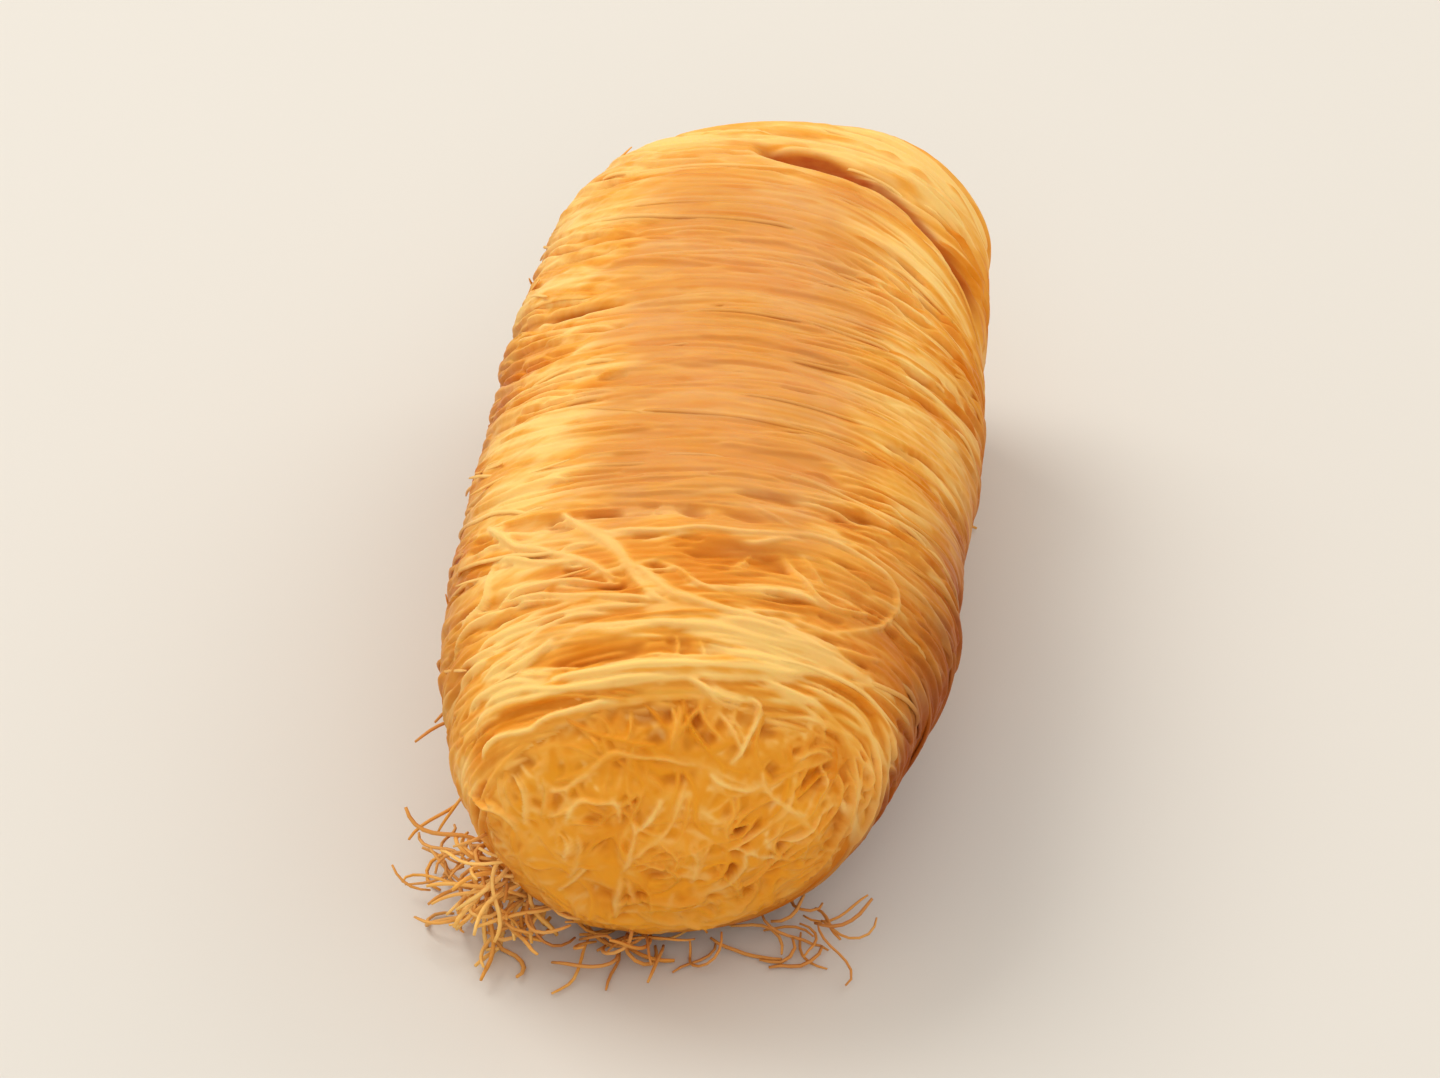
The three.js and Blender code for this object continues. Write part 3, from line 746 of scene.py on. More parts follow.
# strands of the net on the front face, (x, y) in mm from its middle, width, tint
NET = [
    ([(-13.5, 4.2), (-12.8, 6.2), (-11.3, 7.8), (-9.5, 8.9), (-8.6, 9.8), (-6.9, 10.8), (-5.1, 11.6), (-3.6, 12.0)], 0.50, 0.95),
    ([(-14.8, 5.3), (-14.4, 7.4), (-12.4, 9.4), (-9.7, 10.9), (-7.2, 11.9)], 0.45, 0.90),
    ([(-6.3, 2.8), (-6.0, 4.2), (-5.4, 5.3), (-4.3, 5.4), (-3.1, 5.4), (-2.9, 4.1), (-2.9, 3.1)], 0.42, 0.90),
    ([(-2.9, -0.7), (-3.0, -2.2), (-3.2, -5.0), (-3.6, -6.0)], 0.40, 0.85),
    ([(-2.4, 4.2), (-1.9, 3.2), (-2.1, 1.9), (-2.4, 0.4), (-2.9, -0.9)], 0.40, 0.85),
    ([(-0.3, 6.3), (-0.6, 5.3), (-1.2, 4.0), (-1.9, 3.0)], 0.42, 0.95),
    ([(-5.6, 7.0), (-4.5, 7.9), (-3.5, 8.7), (-2.1, 8.6), (-0.5, 8.6), (1.0, 8.2), (2.2, 8.0)], 0.45, 0.80),
    ([(-8.3, 4.7), (-6.6, 5.7), (-5.5, 6.8), (-4.2, 7.8)], 0.42, 0.80),
    ([(4.6, 12.4), (5.6, 11.4), (5.4, 10.4), (4.8, 9.5), (4.3, 8.5), (3.6, 7.7)], 0.42, 1.00),
    ([(2.8, 11.6), (3.5, 10.6), (4.2, 9.4), (4.6, 8.3)], 0.36, 0.90),
    ([(6.4, 7.7), (5.8, 6.9), (6.2, 5.5), (7.5, 4.1), (9.3, 2.6)], 0.36, 0.85),
    ([(1.4, 13.4), (2.8, 12.5), (4.3, 11.9), (5.2, 11.8)], 0.45, 0.95),
    ([(6.2, 0.8), (5.0, 1.4), (5.0, 0.2), (4.3, -1.2), (3.3, -2.5), (2.4, -2.6)], 0.40, 0.85),
    ([(-6.9, 2.3), (-6.1, 1.6), (-6.2, -0.3)], 0.36, 1.00),
    ([(-8.0, 2.8), (-6.8, 3.8), (-5.7, 4.9)], 0.36, 0.70),
    ([(-10.6, 5.2), (-9.5, 4.5), (-9.3, 3.0), (-9.3, 1.3)], 0.42, 0.75),
    ([(-5.6, 3.1), (-5.3, 1.4), (-5.5, -0.5), (-6.4, -2.5)], 0.36, 0.75),
    ([(1.3, -2.2), (1.9, -0.6), (1.6, 1.6), (1.0, 2.5)], 0.36, 0.70),
    ([(-0.3, 0.4), (-1.3, -0.1), (-2.5, -0.7)], 0.36, 0.70),
    ([(7.2, 1.1), (8.1, 1.2), (9.3, 1.7), (10.5, 2.5)], 0.42, 0.85),
    ([(10.0, 6.0), (10.3, 4.5), (9.7, 3.4)], 0.40, 0.85),
    ([(11.3, 7.2), (12.9, 5.2), (14.2, 2.6), (13.3, 1.2)], 0.36, 0.80),
    ([(10.2, 9.8), (12.1, 8.2), (14.2, 5.7), (15.8, 2.2), (17.0, -2.4), (16.5, -7.1), (13.7, -5.5)], 0.50, 0.80),
    ([(9.0, 10.4), (10.3, 8.6), (11.8, 7.4), (13.4, 5.1), (14.3, 1.7), (13.6, -1.3)], 0.40, 0.75),
    ([(-4.0, 3.0), (-5.3, 3.6), (-6.5, 2.7)], 0.36, 0.60),
    ([(2.1, 7.8), (3.3, 6.8), (4.8, 6.0), (6.0, 6.1)], 0.45, 0.95),
    ([(-4.2, 8.4), (-4.8, 9.3), (-5.9, 9.8)], 0.36, 0.60),
    ([(-0.0, 8.7), (0.1, 10.0), (0.2, 11.1), (-0.3, 12.3)], 0.36, 0.65),
    ([(-2.8, 8.9), (-2.6, 10.3), (-2.8, 11.5)], 0.36, 0.60),
    ([(7.1, 7.1), (8.2, 7.3), (9.6, 7.2), (10.9, 6.0)], 0.36, 0.75),
    ([(7.2, 10.3), (8.8, 9.9), (9.9, 8.8), (10.0, 7.6)], 0.40, 0.85),
    ([(7.2, 3.4), (6.9, 1.9), (6.2, 0.8)], 0.36, 0.70),
    ([(-4.3, -5.6), (-3.3, -5.5), (-2.0, -3.3), (1.9, -3.2), (2.5, -4.3)], 0.40, 0.60),
    ([(-8.1, -8.5), (-6.6, -7.9), (-4.3, -5.3)], 0.40, 0.55),
    ([(-0.8, 2.7), (0.2, 1.8), (0.5, 0.1), (0.7, -1.2), (-1.6, -2.6)], 0.36, 0.55),
    ([(-13.4, 1.8), (-11.9, 1.6), (-10.4, 1.4), (-9.5, 0.2)], 0.40, 0.70),
    ([(-15.6, 0.4), (-13.8, 0.5), (-11.3, 1.6), (-10.0, 1.9)], 0.40, 0.80),
    ([(-8.2, 6.5), (-7.9, 4.9), (-8.0, 3.2), (-7.5, 2.1)], 0.36, 0.60),
    ([(-5.6, 7.0), (-6.2, 5.6), (-6.5, 4.3)], 0.36, 0.65),
    ([(3.8, 6.0), (4.0, 4.6), (3.5, 3.4), (3.9, 1.9)], 0.36, 0.60),
    ([(10.9, 5.6), (11.6, 3.3), (11.3, 1.5), (9.9, 1.0), (8.4, -0.0), (7.2, -1.6)], 0.42, 0.60),
    # round the right of the rim
    ([(8.3, 12.2), (11.0, 10.2), (13.2, 7.4), (14.6, 4.2), (15.0, 0.8), (14.4, -2.6), (12.8, -5.4)], 0.50, 0.85),
    ([(9.8, 12.8), (12.6, 10.4), (14.8, 7.0), (16.0, 3.0), (16.1, -1.0), (15.0, -4.8)], 0.50, 0.85),
    ([(7.6, 11.4), (9.8, 9.4), (11.7, 6.8), (12.8, 3.6), (12.9, 0.4), (12.2, -2.8)], 0.42, 0.75),
    ([(6.8, 13.9), (10.4, 12.3), (13.6, 9.4), (16.0, 5.2), (17.0, 1.0)], 0.50, 0.90),
    ([(12.2, 4.6), (12.6, 1.6), (12.0, -1.6), (10.4, -4.4), (8.0, -6.2)], 0.40, 0.65),
    # and across the bottom
    ([(-9.6, -2.2), (-8.2, -4.2), (-6.4, -5.8), (-4.6, -6.6)], 0.40, 0.70),
    ([(-2.0, -4.4), (-1.4, -6.0), (-0.2, -7.2), (1.6, -7.6)], 0.36, 0.65),
    ([(2.6, -3.4), (3.4, -4.8), (3.0, -6.4), (1.8, -7.6)], 0.36, 0.60),
    ([(5.6, -2.0), (5.8, -3.8), (4.8, -5.4), (4.4, -7.0)], 0.40, 0.65),
    ([(-6.4, -3.4), (-5.6, -4.8), (-5.8, -6.6), (-6.6, -7.8)], 0.36, 0.60),
    ([(-9.0, 0.4), (-9.6, -1.6), (-8.8, -3.4), (-7.2, -4.0)], 0.36, 0.60),
]
# soft hollows between them: (x, y), half sizes, depth
HOLES = [
    (-1.8, 11.2, 1.1, 1.0, 0.90), (-1.0, 10.0, 1.0, 0.7, 1.00), (1.4, 10.9, 0.7, 0.7, 1.00), (2.1, 9.8, 0.7, 0.6, 0.90),
    (-4.7, 9.6, 1.3, 0.4, 0.50), (6.1, 9.9, 1.0, 0.7, 0.80), (8.3, 9.3, 0.8, 0.4, 0.60), (8.9, 5.1, 1.4, 1.0, 1.00),
    (0.6, 7.1, 0.9, 0.5, 0.90), (-3.1, 8.1, 0.5, 0.4, 0.60), (-2.3, 5.4, 0.5, 0.8, 0.60), (-4.5, 4.2, 0.8, 1.4, 0.45),
    (-3.8, 1.6, 1.3, 1.3, 0.55), (-4.5, -3.2, 1.7, 1.1, 0.60), (-2.0, -3.3, 1.0, 0.7, 0.70), (-0.5, -0.6, 0.8, 0.7, 0.50),
    (4.4, 2.4, 0.7, 1.7, 0.90), (7.4, -0.6, 0.6, 1.9, 1.00), (13.3, 0.2, 1.9, 2.9, 0.90), (2.1, -3.6, 1.9, 0.3, 0.60),
    (-14.7, 6.6, 1.4, 0.8, 0.90), (-12.7, 5.2, 0.8, 0.7, 0.70), (-7.0, 4.5, 0.6, 0.7, 0.40), (6.3, 7.0, 0.5, 0.8, 0.60),
    (4.0, -0.7, 0.5, 1.2, 0.80), (4.1, 12.5, 1.0, 0.4, 0.70), (-0.2, 11.4, 0.5, 0.5, 0.80), (-5.3, 1.0, 0.5, 1.4, 0.40),
    (5.7, 2.6, 0.7, 0.9, 0.50), (-2.5, -1.5, 0.3, 0.9, 0.50), (14.8, -0.8, 2.6, 6.2, 0.70), (12.3, 4.8, 0.6, 1.0, 0.50),
    (9.8, 4.3, 0.9, 0.8, 0.70), (-10.3, 6.5, 1.4, 0.4, 0.40), (5.7, -2.8, 1.4, 1.3, 0.60),
]
for which in (0, 1):
    f = ends[which]
    end_net(which, 600, 310 + which, -0.85, -0.60, 0.26, 0.4, 14.5, 0.3)
    end_net(which, 300, 330 + which, -0.60, -0.42, 0.2, 0.28, 14.0, 0.45)
    f.flush()
    r = np.random.default_rng(390 + which)
    holes = HOLES if which == 0 else [
        (12 * q * math.cos(w), 12 * q * math.sin(w), r.uniform(0.5, 1.4), r.uniform(0.4, 1.2), r.uniform(0.4, 1))
        for q, w in zip(np.sqrt(r.uniform(0, 1, 34)), r.uniform(0, TAU, 34))]
    g = blur(f.grid().astype(np.float64), 2.2 * KE, 2.2 * KE, False)
    gy, gx = np.arange(FN)[:, None] * FC - FH, np.arange(FN)[None, :] * FC - FH
    pits = np.zeros((FN, FN))
    for x, y, rx_, ry_, d in holes:
        q = ((gx - x) / min(rx_, 1.6)) ** 2 + ((gy - y) / min(ry_, 1.6)) ** 2
        pits = np.maximum(pits, d * np.exp(-q ** 1.5))
    f.h = (g - 0.55 * pits).astype(np.float32).ravel()
    end_net(which, 150, 350 + which, -0.52, -0.26, 0.12, 0.2, 14.0, 0.45, (3, 9))
    f.flush()
    if which == 0:
        for k, (points, width, tint) in enumerate(NET):
            r = np.random.default_rng(1200 + k)
            x, y = np.array([q[0] for q in points]), np.array([q[1] for q in points])
            lay_traced(np.hypot(x, y), np.unwrap(np.arctan2(y, x)), r.uniform(-0.22, -0.05), 0.82 * width, tint, r, 1.4, 0.24)
            if k % 2:
                lay_traced(np.hypot(x + 0.3, y + 0.25), np.unwrap(np.arctan2(y + 0.25, x + 0.3)), r.uniform(-0.35, -0.2),
                           0.3, tint * 0.8, r, 1.4, 0.2)
    else:
        end_net(which, 70, 370, -0.26, -0.1, 0.14, 0.2, 13.0, 0.75, (4, 11))
    f.flush()
body.flush()

# soften: the strands are soaked together with syrup
BODY_H = blur(body.grid().astype(np.float64), 0.6 * KV, 0.6 * KA, True)
BODY_T = blur(body.t.reshape(NV, NA).astype(np.float64), 0.8 * KV, 2.0 * KA, True)
END_H = [blur(f.grid().astype(np.float64), 0.9 * KE, 0.9 * KE, False) for f in ends]
END_T = [blur(f.t.reshape(FN, FN).astype(np.float64), 1.1 * KE, 1.1 * KE, False) for f in ends]
BODY_M = blur(BODY_H, 9 * KV, 6 * KA, True)
END_M = [blur(g, 9 * KE, 9 * KE, False) for g in END_H]
# nothing but a gap between strands goes deep
room = 0.24 + 0.9 * blur(placed.astype(np.float64), 2 * KV, 2 * KA, True)
under_m = np.maximum(BODY_M - BODY_H, 0)
BODY_H = np.where(BODY_H < BODY_M, BODY_M - room * np.tanh(under_m / room), BODY_H)
# fused areas are flatter: the toasted band above all
vv, aa = np.arange(NV)[:, None] * DV, (np.arange(NA) * TAU / NA)[None, :]
amp = 1 - np.maximum(0.52 * toast_at(vv, aa + 0 * vv), 0.15 * browning_and_shade_at(vv, aa + 0 * vv))
BODY_H = BODY_M + (BODY_H - BODY_M) * amp * 0.85
END_H = [m + (g - m) * 0.75 for g, m in zip(END_H, END_M)]
print("FIELDS", round(time.perf_counter() - T0, 1), "s")


def height_at(v, a):
    """Height of the fused strands at (v, a), their tint, and how deep the spot lies under its surroundings."""
    h = sample(BODY_H, v / DV, a / TAU * NA, True)
    t = sample(BODY_T, v / DV, a / TAU * NA, True)
    m = sample(BODY_M, v / DV, a / TAU * NA, True)
    out_h, out_t, out_m = h, t, m
    for k in (0, 1):
        d = v if k == 0 else V_END - v
        x, y = d * np.cos(a), d * np.sin(a)
        eh = sample(END_H[k], (y + FH) / FC, (x + FH) / FC, False)
        et = sample(END_T[k], (y + FH) / FC, (x + FH) / FC, False)
        em = sample(END_M[k], (y + FH) / FC, (x + FH) / FC, False)
        w = smooth((14.6 - d) / 1.3)                 # the net stops at the rim
        wb = smooth((d - 10.6) / 2.0)                # the windings start here
        eh2 = np.where(d < 14.6, eh * w + (DEEP - 0.3) * (1 - w), -9)
        bh2 = out_h * wb + (DEEP - 0.3) * (1 - wb)
        near = d < 14.6
        top = near & (eh2 > bh2)
        out_h = np.where(near, np.maximum(eh2, bh2), out_h)
        out_t = np.where(top, et, out_t)
        out_m = np.where(near, em * (1 - wb) + out_m * wb, out_m)
    drop = split_drop(v, a)
    low = np.clip((-0.55 - 0.35 * face_at(v, a) - out_m) / 0.4, 0, 1)
    return out_h + drop, out_t, np.clip((out_m - out_h) / 0.45 + low, 0, 1)


# ======================================================================== the crust: one skin in five lengths
def crust():
    rows = np.concatenate([
        np.arange(0.25, 9.0, 0.13), np.arange(9.0, 29.0, 0.083), np.arange(29.0, 58.0, 0.1), np.arange(58.0, V_END - 9.0, 0.13),
        np.arange(V_END - 9.0, V_END - 0.2, 0.22)])
    lengths = [("crust_end", 12.5, 0.66, 60), ("crust_front", 28.5, 0.62, 60), ("crust_middle", 45.0, 0.8, 50),
               ("crust_waist", 62.0, 0.8, 50), ("crust_back", 999.0, 0.85, 50)]
    cut = [0] + [min(len(rows) - 1, int(np.searchsorted(rows, c[1]))) for c in lengths]
    last = len(lengths) - 1
    obs = []
    for k, (name, _, step, n_under) in enumerate(lengths):
        # each length reaches one row past its ends, for the normals; the front one also tucks under the next
        lo, hi = cut[k], cut[k + 1]
        tuck = 3 if k < last else 0
        a0, a1 = max(0, lo - 1), min(len(rows) - 1, hi + tuck + 1)
        cols = np.radians(np.concatenate([np.arange(-24, 204, step), np.linspace(204, 336, n_under)[:-1]]))
        V0, A = np.meshgrid(rows[a0:a1 + 1], cols, indexing="ij")
        # rows follow the windings, so that every strand is met squarely
        w = smooth(V0 / 13) * smooth((V_END - V0) / 24)
        V = V0 + w * (lean(V0, A) + drift(V0, A) * smooth((V0 - 8) / 10))
        V = np.clip(V, 0.2, V_END - 0.2)
        H, Tn, D = height_at(V, A)
        P, N0 = place(V, A, H, floor=0.05, flat=0.4)
        gu = np.gradient(P, axis=0)
        ga_ = np.roll(P, -1, axis=1) - np.roll(P, 1, axis=1)
        n = np.cross(ga_, gu)
        n /= np.maximum(np.linalg.norm(n, axis=-1, keepdims=True), 1e-9)
        n *= np.sign((n * N0).sum(-1, keepdims=True) + 1e-12)
        if tuck:
            P[hi + 1 - a0:] -= 0.05 * N0[hi + 1 - a0:]
        sl = slice(lo - a0, hi + tuck - a0 + 1)
        P, n, Vp, Ap, Tn, D = P[sl], n[sl], V[sl], A[sl], Tn[sl], D[sl]
        R, C = P.shape[:2]
        pts, nrm = P.reshape(-1, 3) * MM, n.reshape(-1, 3)
        i, j = np.meshgrid(np.arange(R - 1), np.arange(C), indexing="ij")
        j2 = (j + 1) % C
        quads = np.stack([i * C + j, i * C + j2, (i + 1) * C + j2, (i + 1) * C + j], -1).reshape(-1, 4)
        loops, totals = [quads.ravel()], [np.full(len(quads), 4)]
        if k in (0, last):
            ring, base = (P[0], 0) if k == 0 else (P[-1], (R - 1) * C)
            pts = np.concatenate([pts, ring.mean(0)[None] * MM])
            nrm = np.concatenate([nrm, [[0, -1.0 if k == 0 else 1.0, 0]]])
            c, j = len(pts) - 1, np.arange(C)
            j2 = (j + 1) % C
            fan = np.stack([np.full(C, c), base + j2, base + j] if k == 0 else [np.full(C, c), base + j, base + j2], -1)
            loops.append(fan.ravel())
            totals.append(np.full(C, 3))
        loops, totals = np.concatenate(loops).astype(np.int32), np.concatenate(totals).astype(np.int32)
        me = bpy.data.meshes.new(name)
        me.vertices.add(len(pts))
        me.vertices.foreach_set("co", pts.astype(np.float32).ravel())
        me.loops.add(len(loops))
        me.loops.foreach_set("vertex_index", loops)
        me.polygons.add(len(totals))
        me.polygons.foreach_set("loop_start", np.concatenate([[0], np.cumsum(totals)[:-1]]).astype(np.int32))
        me.polygons.foreach_set("loop_total", totals)
        me.polygons.foreach_set("use_smooth", np.ones(len(totals), bool))
        for nm, g in (("tint", Tn), ("toast", toast_at(Vp, Ap)), ("depth", np.clip(D, 0, 1)), ("brown", browning_and_shade_at(Vp, Ap)),
                      ("split_shade", split_shade_at(Vp, Ap)), ("face", face_at(Vp, Ap)), ("pale", pale_and_lit_at(Vp, Ap))):
            at = me.attributes.new(nm, "FLOAT", "POINT")
            at.data.foreach_set("value", np.concatenate([g.ravel(), np.full(len(pts) - R * C, g.mean())]).astype(np.float32))
        me.update(calc_edges=True)
        f0 = me.polygons[len(quads) // 2]
        if f0.normal.dot(Vector(nrm[f0.vertices[0]])) < 0:          # facing outward
            me.flip_normals()
        me.normals_split_custom_set_from_vertices(nrm.tolist())
        ob = bpy.data.objects.new(name, me)
        bpy.context.scene.collection.objects.link(ob)
        obs.append(ob)
        print("TRIS", name, int((totals - 2).sum()))
    return obs


# ======================================================================== strands: tubes lying on the crust or off it
class Strands:
    """Collects strands and turns them into one mesh of thin tubes."""

    def __init__(self, name, sides=5):
        self.name, self.sides, self.items = name, sides, []

    def add(self, pts, nrm, width, tint, taper=0.5, flat=0.85, toast=None, face=None, brown=None, pale=None):
        if len(pts) < 3:
            return
        n = len(pts)
        z = np.zeros(n)
        self.items.append((pts, nrm, width, tint, taper, flat, z if toast is None else toast,
                           z if face is None else face, z if brown is None else brown, z if pale is None else pale))

    def tris(self):
        return sum((len(i[0]) - 1) * 2 * self.sides + 2 * (self.sides - 2) for i in self.items)

    def build(self, material):
        k = self.sides
        ang = TAU * (np.arange(k) + 0.5) / k
        V, T, X, D, B, W = [], [], [], [], [], []
        n_v = 0
        loops, totals, uvs_local, dims = [], [], [], []
        for pts, nrm, width, tint, taper, flat, toast, face, brown, pale in self.items:
            n = len(pts)
            tan = np.gradient(pts, axis=0)
            tan /= np.maximum(np.linalg.norm(tan, axis=1, keepdims=True), 1e-9)
            b = np.cross(tan, nrm)
            b /= np.maximum(np.linalg.norm(b, axis=1, keepdims=True), 1e-9)
            m = np.cross(b, tan)
            seg = np.linalg.norm(np.diff(pts, axis=0), axis=1)
            run = np.concatenate([[0], np.cumsum(seg)])
            length = run[-1]
            e = np.minimum(run, length - run)
            r = width / 2 * (taper + (1 - taper) * smooth(e / 1.2))
            ring = (b[:, None] * np.cos(ang)[None, :, None] + m[:, None] * np.sin(ang)[None, :, None] * flat)
            V.append((pts[:, None] + ring * r[:, None, None]).reshape(-1, 3))
            T.append(np.full(n * k, tint))
            X.append(np.repeat(toast, k))
            D.append(np.repeat(face, k))
            B.append(np.repeat(brown, k))
            W.append(np.repeat(pale, k))
            i, j = np.arange(n - 1)[:, None], np.arange(k)[None]
            j2 = (j + 1) % k
            quad = np.stack([i * k + j, i * k + j2, (i + 1) * k + j2, (i + 1) * k + j], -1).reshape(-1, 4) + n_v
            loops += [quad.ravel(), np.arange(k)[::-1] + n_v, np.arange(k) + (n - 1) * k + n_v]
            totals += [np.full(len(quad), 4), np.full(2, k)]
            per = math.pi * width * 0.9
            z = np.zeros((n - 1, k))
            uq = np.stack([
                np.stack([z + run[:-1, None], z + j / k * per], -1), np.stack([z + run[:-1, None], z + (j + 1) / k * per], -1),
                np.stack([z + run[1:, None], z + (j + 1) / k * per], -1), np.stack([z + run[1:, None], z + j / k * per], -1),
            ], 2).reshape(-1, 2)
            c = np.stack([np.cos(ang), np.sin(ang)], 1) * 0.3
            u0 = np.stack([-0.5 + c[::-1, 0], per / 2 + c[::-1, 1]], 1)
            u1 = np.stack([length + 0.5 + c[:, 0], per / 2 + c[:, 1]], 1)
            uvs_local.append(np.concatenate([uq, u0, u1]))
            dims.append((length + 2.0, per + 0.35))
            n_v += n * k
        V = np.concatenate(V) * MM
        V[:, 2] = np.maximum(V[:, 2], 0.00002)
        loops, totals = np.concatenate(loops).astype(np.int32), np.concatenate(totals).astype(np.int32)
        me = bpy.data.meshes.new(self.name)
        me.vertices.add(len(V))
        me.vertices.foreach_set("co", V.astype(np.float32).ravel())
        me.loops.add(len(loops))
        me.loops.foreach_set("vertex_index", loops)
        me.polygons.add(len(totals))
        me.polygons.foreach_set("loop_start", np.concatenate([[0], np.cumsum(totals)[:-1]]).astype(np.int32))
        me.polygons.foreach_set("loop_total", totals)
        me.polygons.foreach_set("use_smooth", np.ones(len(totals), bool))
        # strips side by side in rows: every strand has its own place in the UV map
        dims = np.array(dims)
        order = np.argsort(-dims[:, 1] * 1000 - dims[:, 0])
        scale = math.sqrt(1 / (dims[:, 0] * dims[:, 1]).sum())
        for _ in range(80):
            x = y = 0.004
            row = 0.0
            spot, ok = {}, True
            for i in order:
                w, h = dims[i] * scale
                if x + w > 0.996:
                    x, y, row = 0.004, y + row, 0.0
                if y + h > 0.996:
                    ok = False
                    break
                spot[i] = (x + 1.0 * scale, y)
                x, row = x + w, max(row, h)
            if ok:
                break
            scale *= 0.985
        uv = np.concatenate([uvs_local[i] * scale + np.array(spot[i]) for i in range(len(dims))])
        layer = me.uv_layers.new(name="OFBake")
        layer.data.foreach_set("uv", uv.astype(np.float32).ravel())
        for nm, arr in (("tint", T), ("toast", X), ("face", D), ("brown", B), ("pale", W)):
            at = me.attributes.new(nm, "FLOAT", "POINT")
            at.data.foreach_set("value", np.concatenate(arr).astype(np.float32))
        me.update(calc_edges=True)
        me.materials.append(material)
        ob = bpy.data.objects.new(self.name, me)
        bpy.context.scene.collection.objects.link(ob)
        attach(ob, "root")
        print("TRIS", self.name, self.tris(), len(self.items))
        return ob


turn_s = Strands("strands_turns", 5)        # single strands standing a little proud of the windings
loose_s = Strands("strands_loose", 5)       # looser strands and bundles towards the front
tuft_s = Strands("strands_tufts", 5)        # loose ends and tufts


def hug(v, a, off, s, dive=0.5, run=2.0):
    """Heights that follow the crust with an offset, diving into it at both ends."""
    h, t, d = height_at(v, a)
    k = max(1, int(round(1.4 / max(1e-6, (s[1] - s[0])))))
    ker = np.ones(2 * k + 1) / (2 * k + 1)
    hs = np.convolve(np.pad(h, k, mode="edge"), ker, mode="valid")
    hs = np.maximum(hs, h - 0.12)
    e = np.minimum(s, s[-1] - s)
    return hs + off - dive * (1 - smooth(e / run))


def on_crust(col, v, a, s, width, off, tint, dive=0.5, run=2.0, taper=0.5, wob=0.05, r=rng):
    ph = r.uniform(0, TAU)
    h = hug(v, a, off + wob * np.sin(s / 1.9 + ph), s, dive, run)
    p, n = place(v, a, h, floor=0.22)
    col.add(p, n, width, tint, taper, toast=toast_at(v, a), brown=browning_and_shade_at(v, a), face=face_at(v, a), pale=pale_and_lit_at(v, a))


# single strands over the windings
r1 = np.random.default_rng(61)
for i in range(220):
    v0, a0 = r1.uniform(13, V_END - 12), r1.uniform(0, TAU)
    band = float(toast_at(np.array([v0]), np.array([a0]))[0])
    if r1.uniform() < 0.55 * band or loose_part(v0 + 2, a0):
        continue
    v, a, s = wound_path(v0, a0, r1.uniform(0.2, 1.1), r1.normal(0, 0.07), 0.07, 0.62, r1)
    ok = (v > 11) & (v < V_END - 9)
    if ok.sum() < 6 or not ok.all():
        continue
    if (split_drop(v, a) < -0.2).any():
        continue
    on_crust(turn_s, v, a, s, r1.uniform(0.28, 0.4), r1.uniform(-0.12, 0.0), r1.uniform(0.45, 1.0), dive=0.3, r=r1)

r2 = np.random.default_rng(62)
for i in range(40):
    v0, a0 = r2.uniform(15, 28), math.radians(r2.uniform(-50, 230))
    v, a, s = wound_path(v0, a0, r2.uniform(0.4, 1.1) * r2.choice([-1, 1]), r2.normal(0, 0.12), 0.2, 0.55, r2)
    ok = v > 14
    if not ok.all() or len(v) < 6 or loose_part(v0, a0):
        continue
    if ((np.abs(y_of_v(v) + 13.6) < 1.0) & (np.abs(np.degrees(np.mod(a, TAU)) - 82) < 16)).any():
        r2.uniform(size=4)                      # none along the front edge of the toasted band
        continue
    on_crust(loose_s, v, a, s, r2.uniform(0.32, 0.42), r2.uniform(0.0, 0.2), r2.uniform(0.45, 1.0), r=r2)

# ------------------------------------------------------------------------ loose ends and tufts
def free_strand(p0, direction, length, width, tint, r, curl=0.5, droop=0.25, floor=0.24, brown=0.3):
    """A strand that starts at p0 and wanders off, falling until it lies on the floor."""
    n = max(6, int(length / 0.55))
    ds = length / (n - 1)
    d = np.array(direction, float)
    d /= np.linalg.norm(d)
    p = np.array(p0, float)
    pts = [p.copy()]
    ph = r.uniform(0, TAU, 4)
    axis = np.array([0.0, 0.0, 1.0]) + r.normal(0, 0.35, 3)
    axis /= np.linalg.norm(axis)
    side = r.choice([-1, 1])
    for i in range(1, n):
        s = i * ds
        turn = curl * (0.35 * side + np.sin(s / 1.5 + ph[0]) + 0.6 * np.sin(s / 2.9 + ph[1]))
        d = d + np.cross(axis, d) * turn * ds * 0.5 + np.array([0, 0, -droop]) * ds * 0.35
        d += r.normal(0, 0.02, 3)
        d /= np.linalg.norm(d)
        p = p + d * ds
        if p[2] < floor:
            p[2] = floor
            d[2] = abs(d[2]) * 0.15
        pts.append(p.copy())
    pts = np.array(pts)
    nrm = np.tile([0.0, 0.0, 1.0], (n, 1)) + 0.01
    tuft_s.add(pts, nrm, width, tint, 0.7, 0.9, brown=np.full(n, brown))


r4 = np.random.default_rng(81)
# short flyaway ends all over, most along the sides
for i in range(46):
    v0, a0 = r4.uniform(14, V_END - 10), math.radians(r4.choice([r4.uniform(150, 215), r4.uniform(125, 200)]))
    va, aa_, sa = wound_path(v0, a0, r4.uniform(0.18, 0.4) * r4.choice([-1, 1]), r4.normal(0, 0.25), 0.1, 0.5, r4)
    if va.min() < 11 or va.max() > V_END - 8:
        continue
    h, _, _ = height_at(va, aa_)
    rise = r4.uniform(0.15, 0.7) * (sa / sa[-1]) ** 1.8
    p, nn = place(va, aa_, np.maximum.accumulate(h * 0 + h.mean() - 0.1 + rise), floor=0.3)
    tuft_s.add(p, nn, r4.uniform(0.18, 0.28), r4.uniform(0.6, 1.0), 0.5, 0.9, toast=toast_at(va, aa_), brown=browning_and_shade_at(va, aa_), pale=pale_and_lit_at(va, aa_))


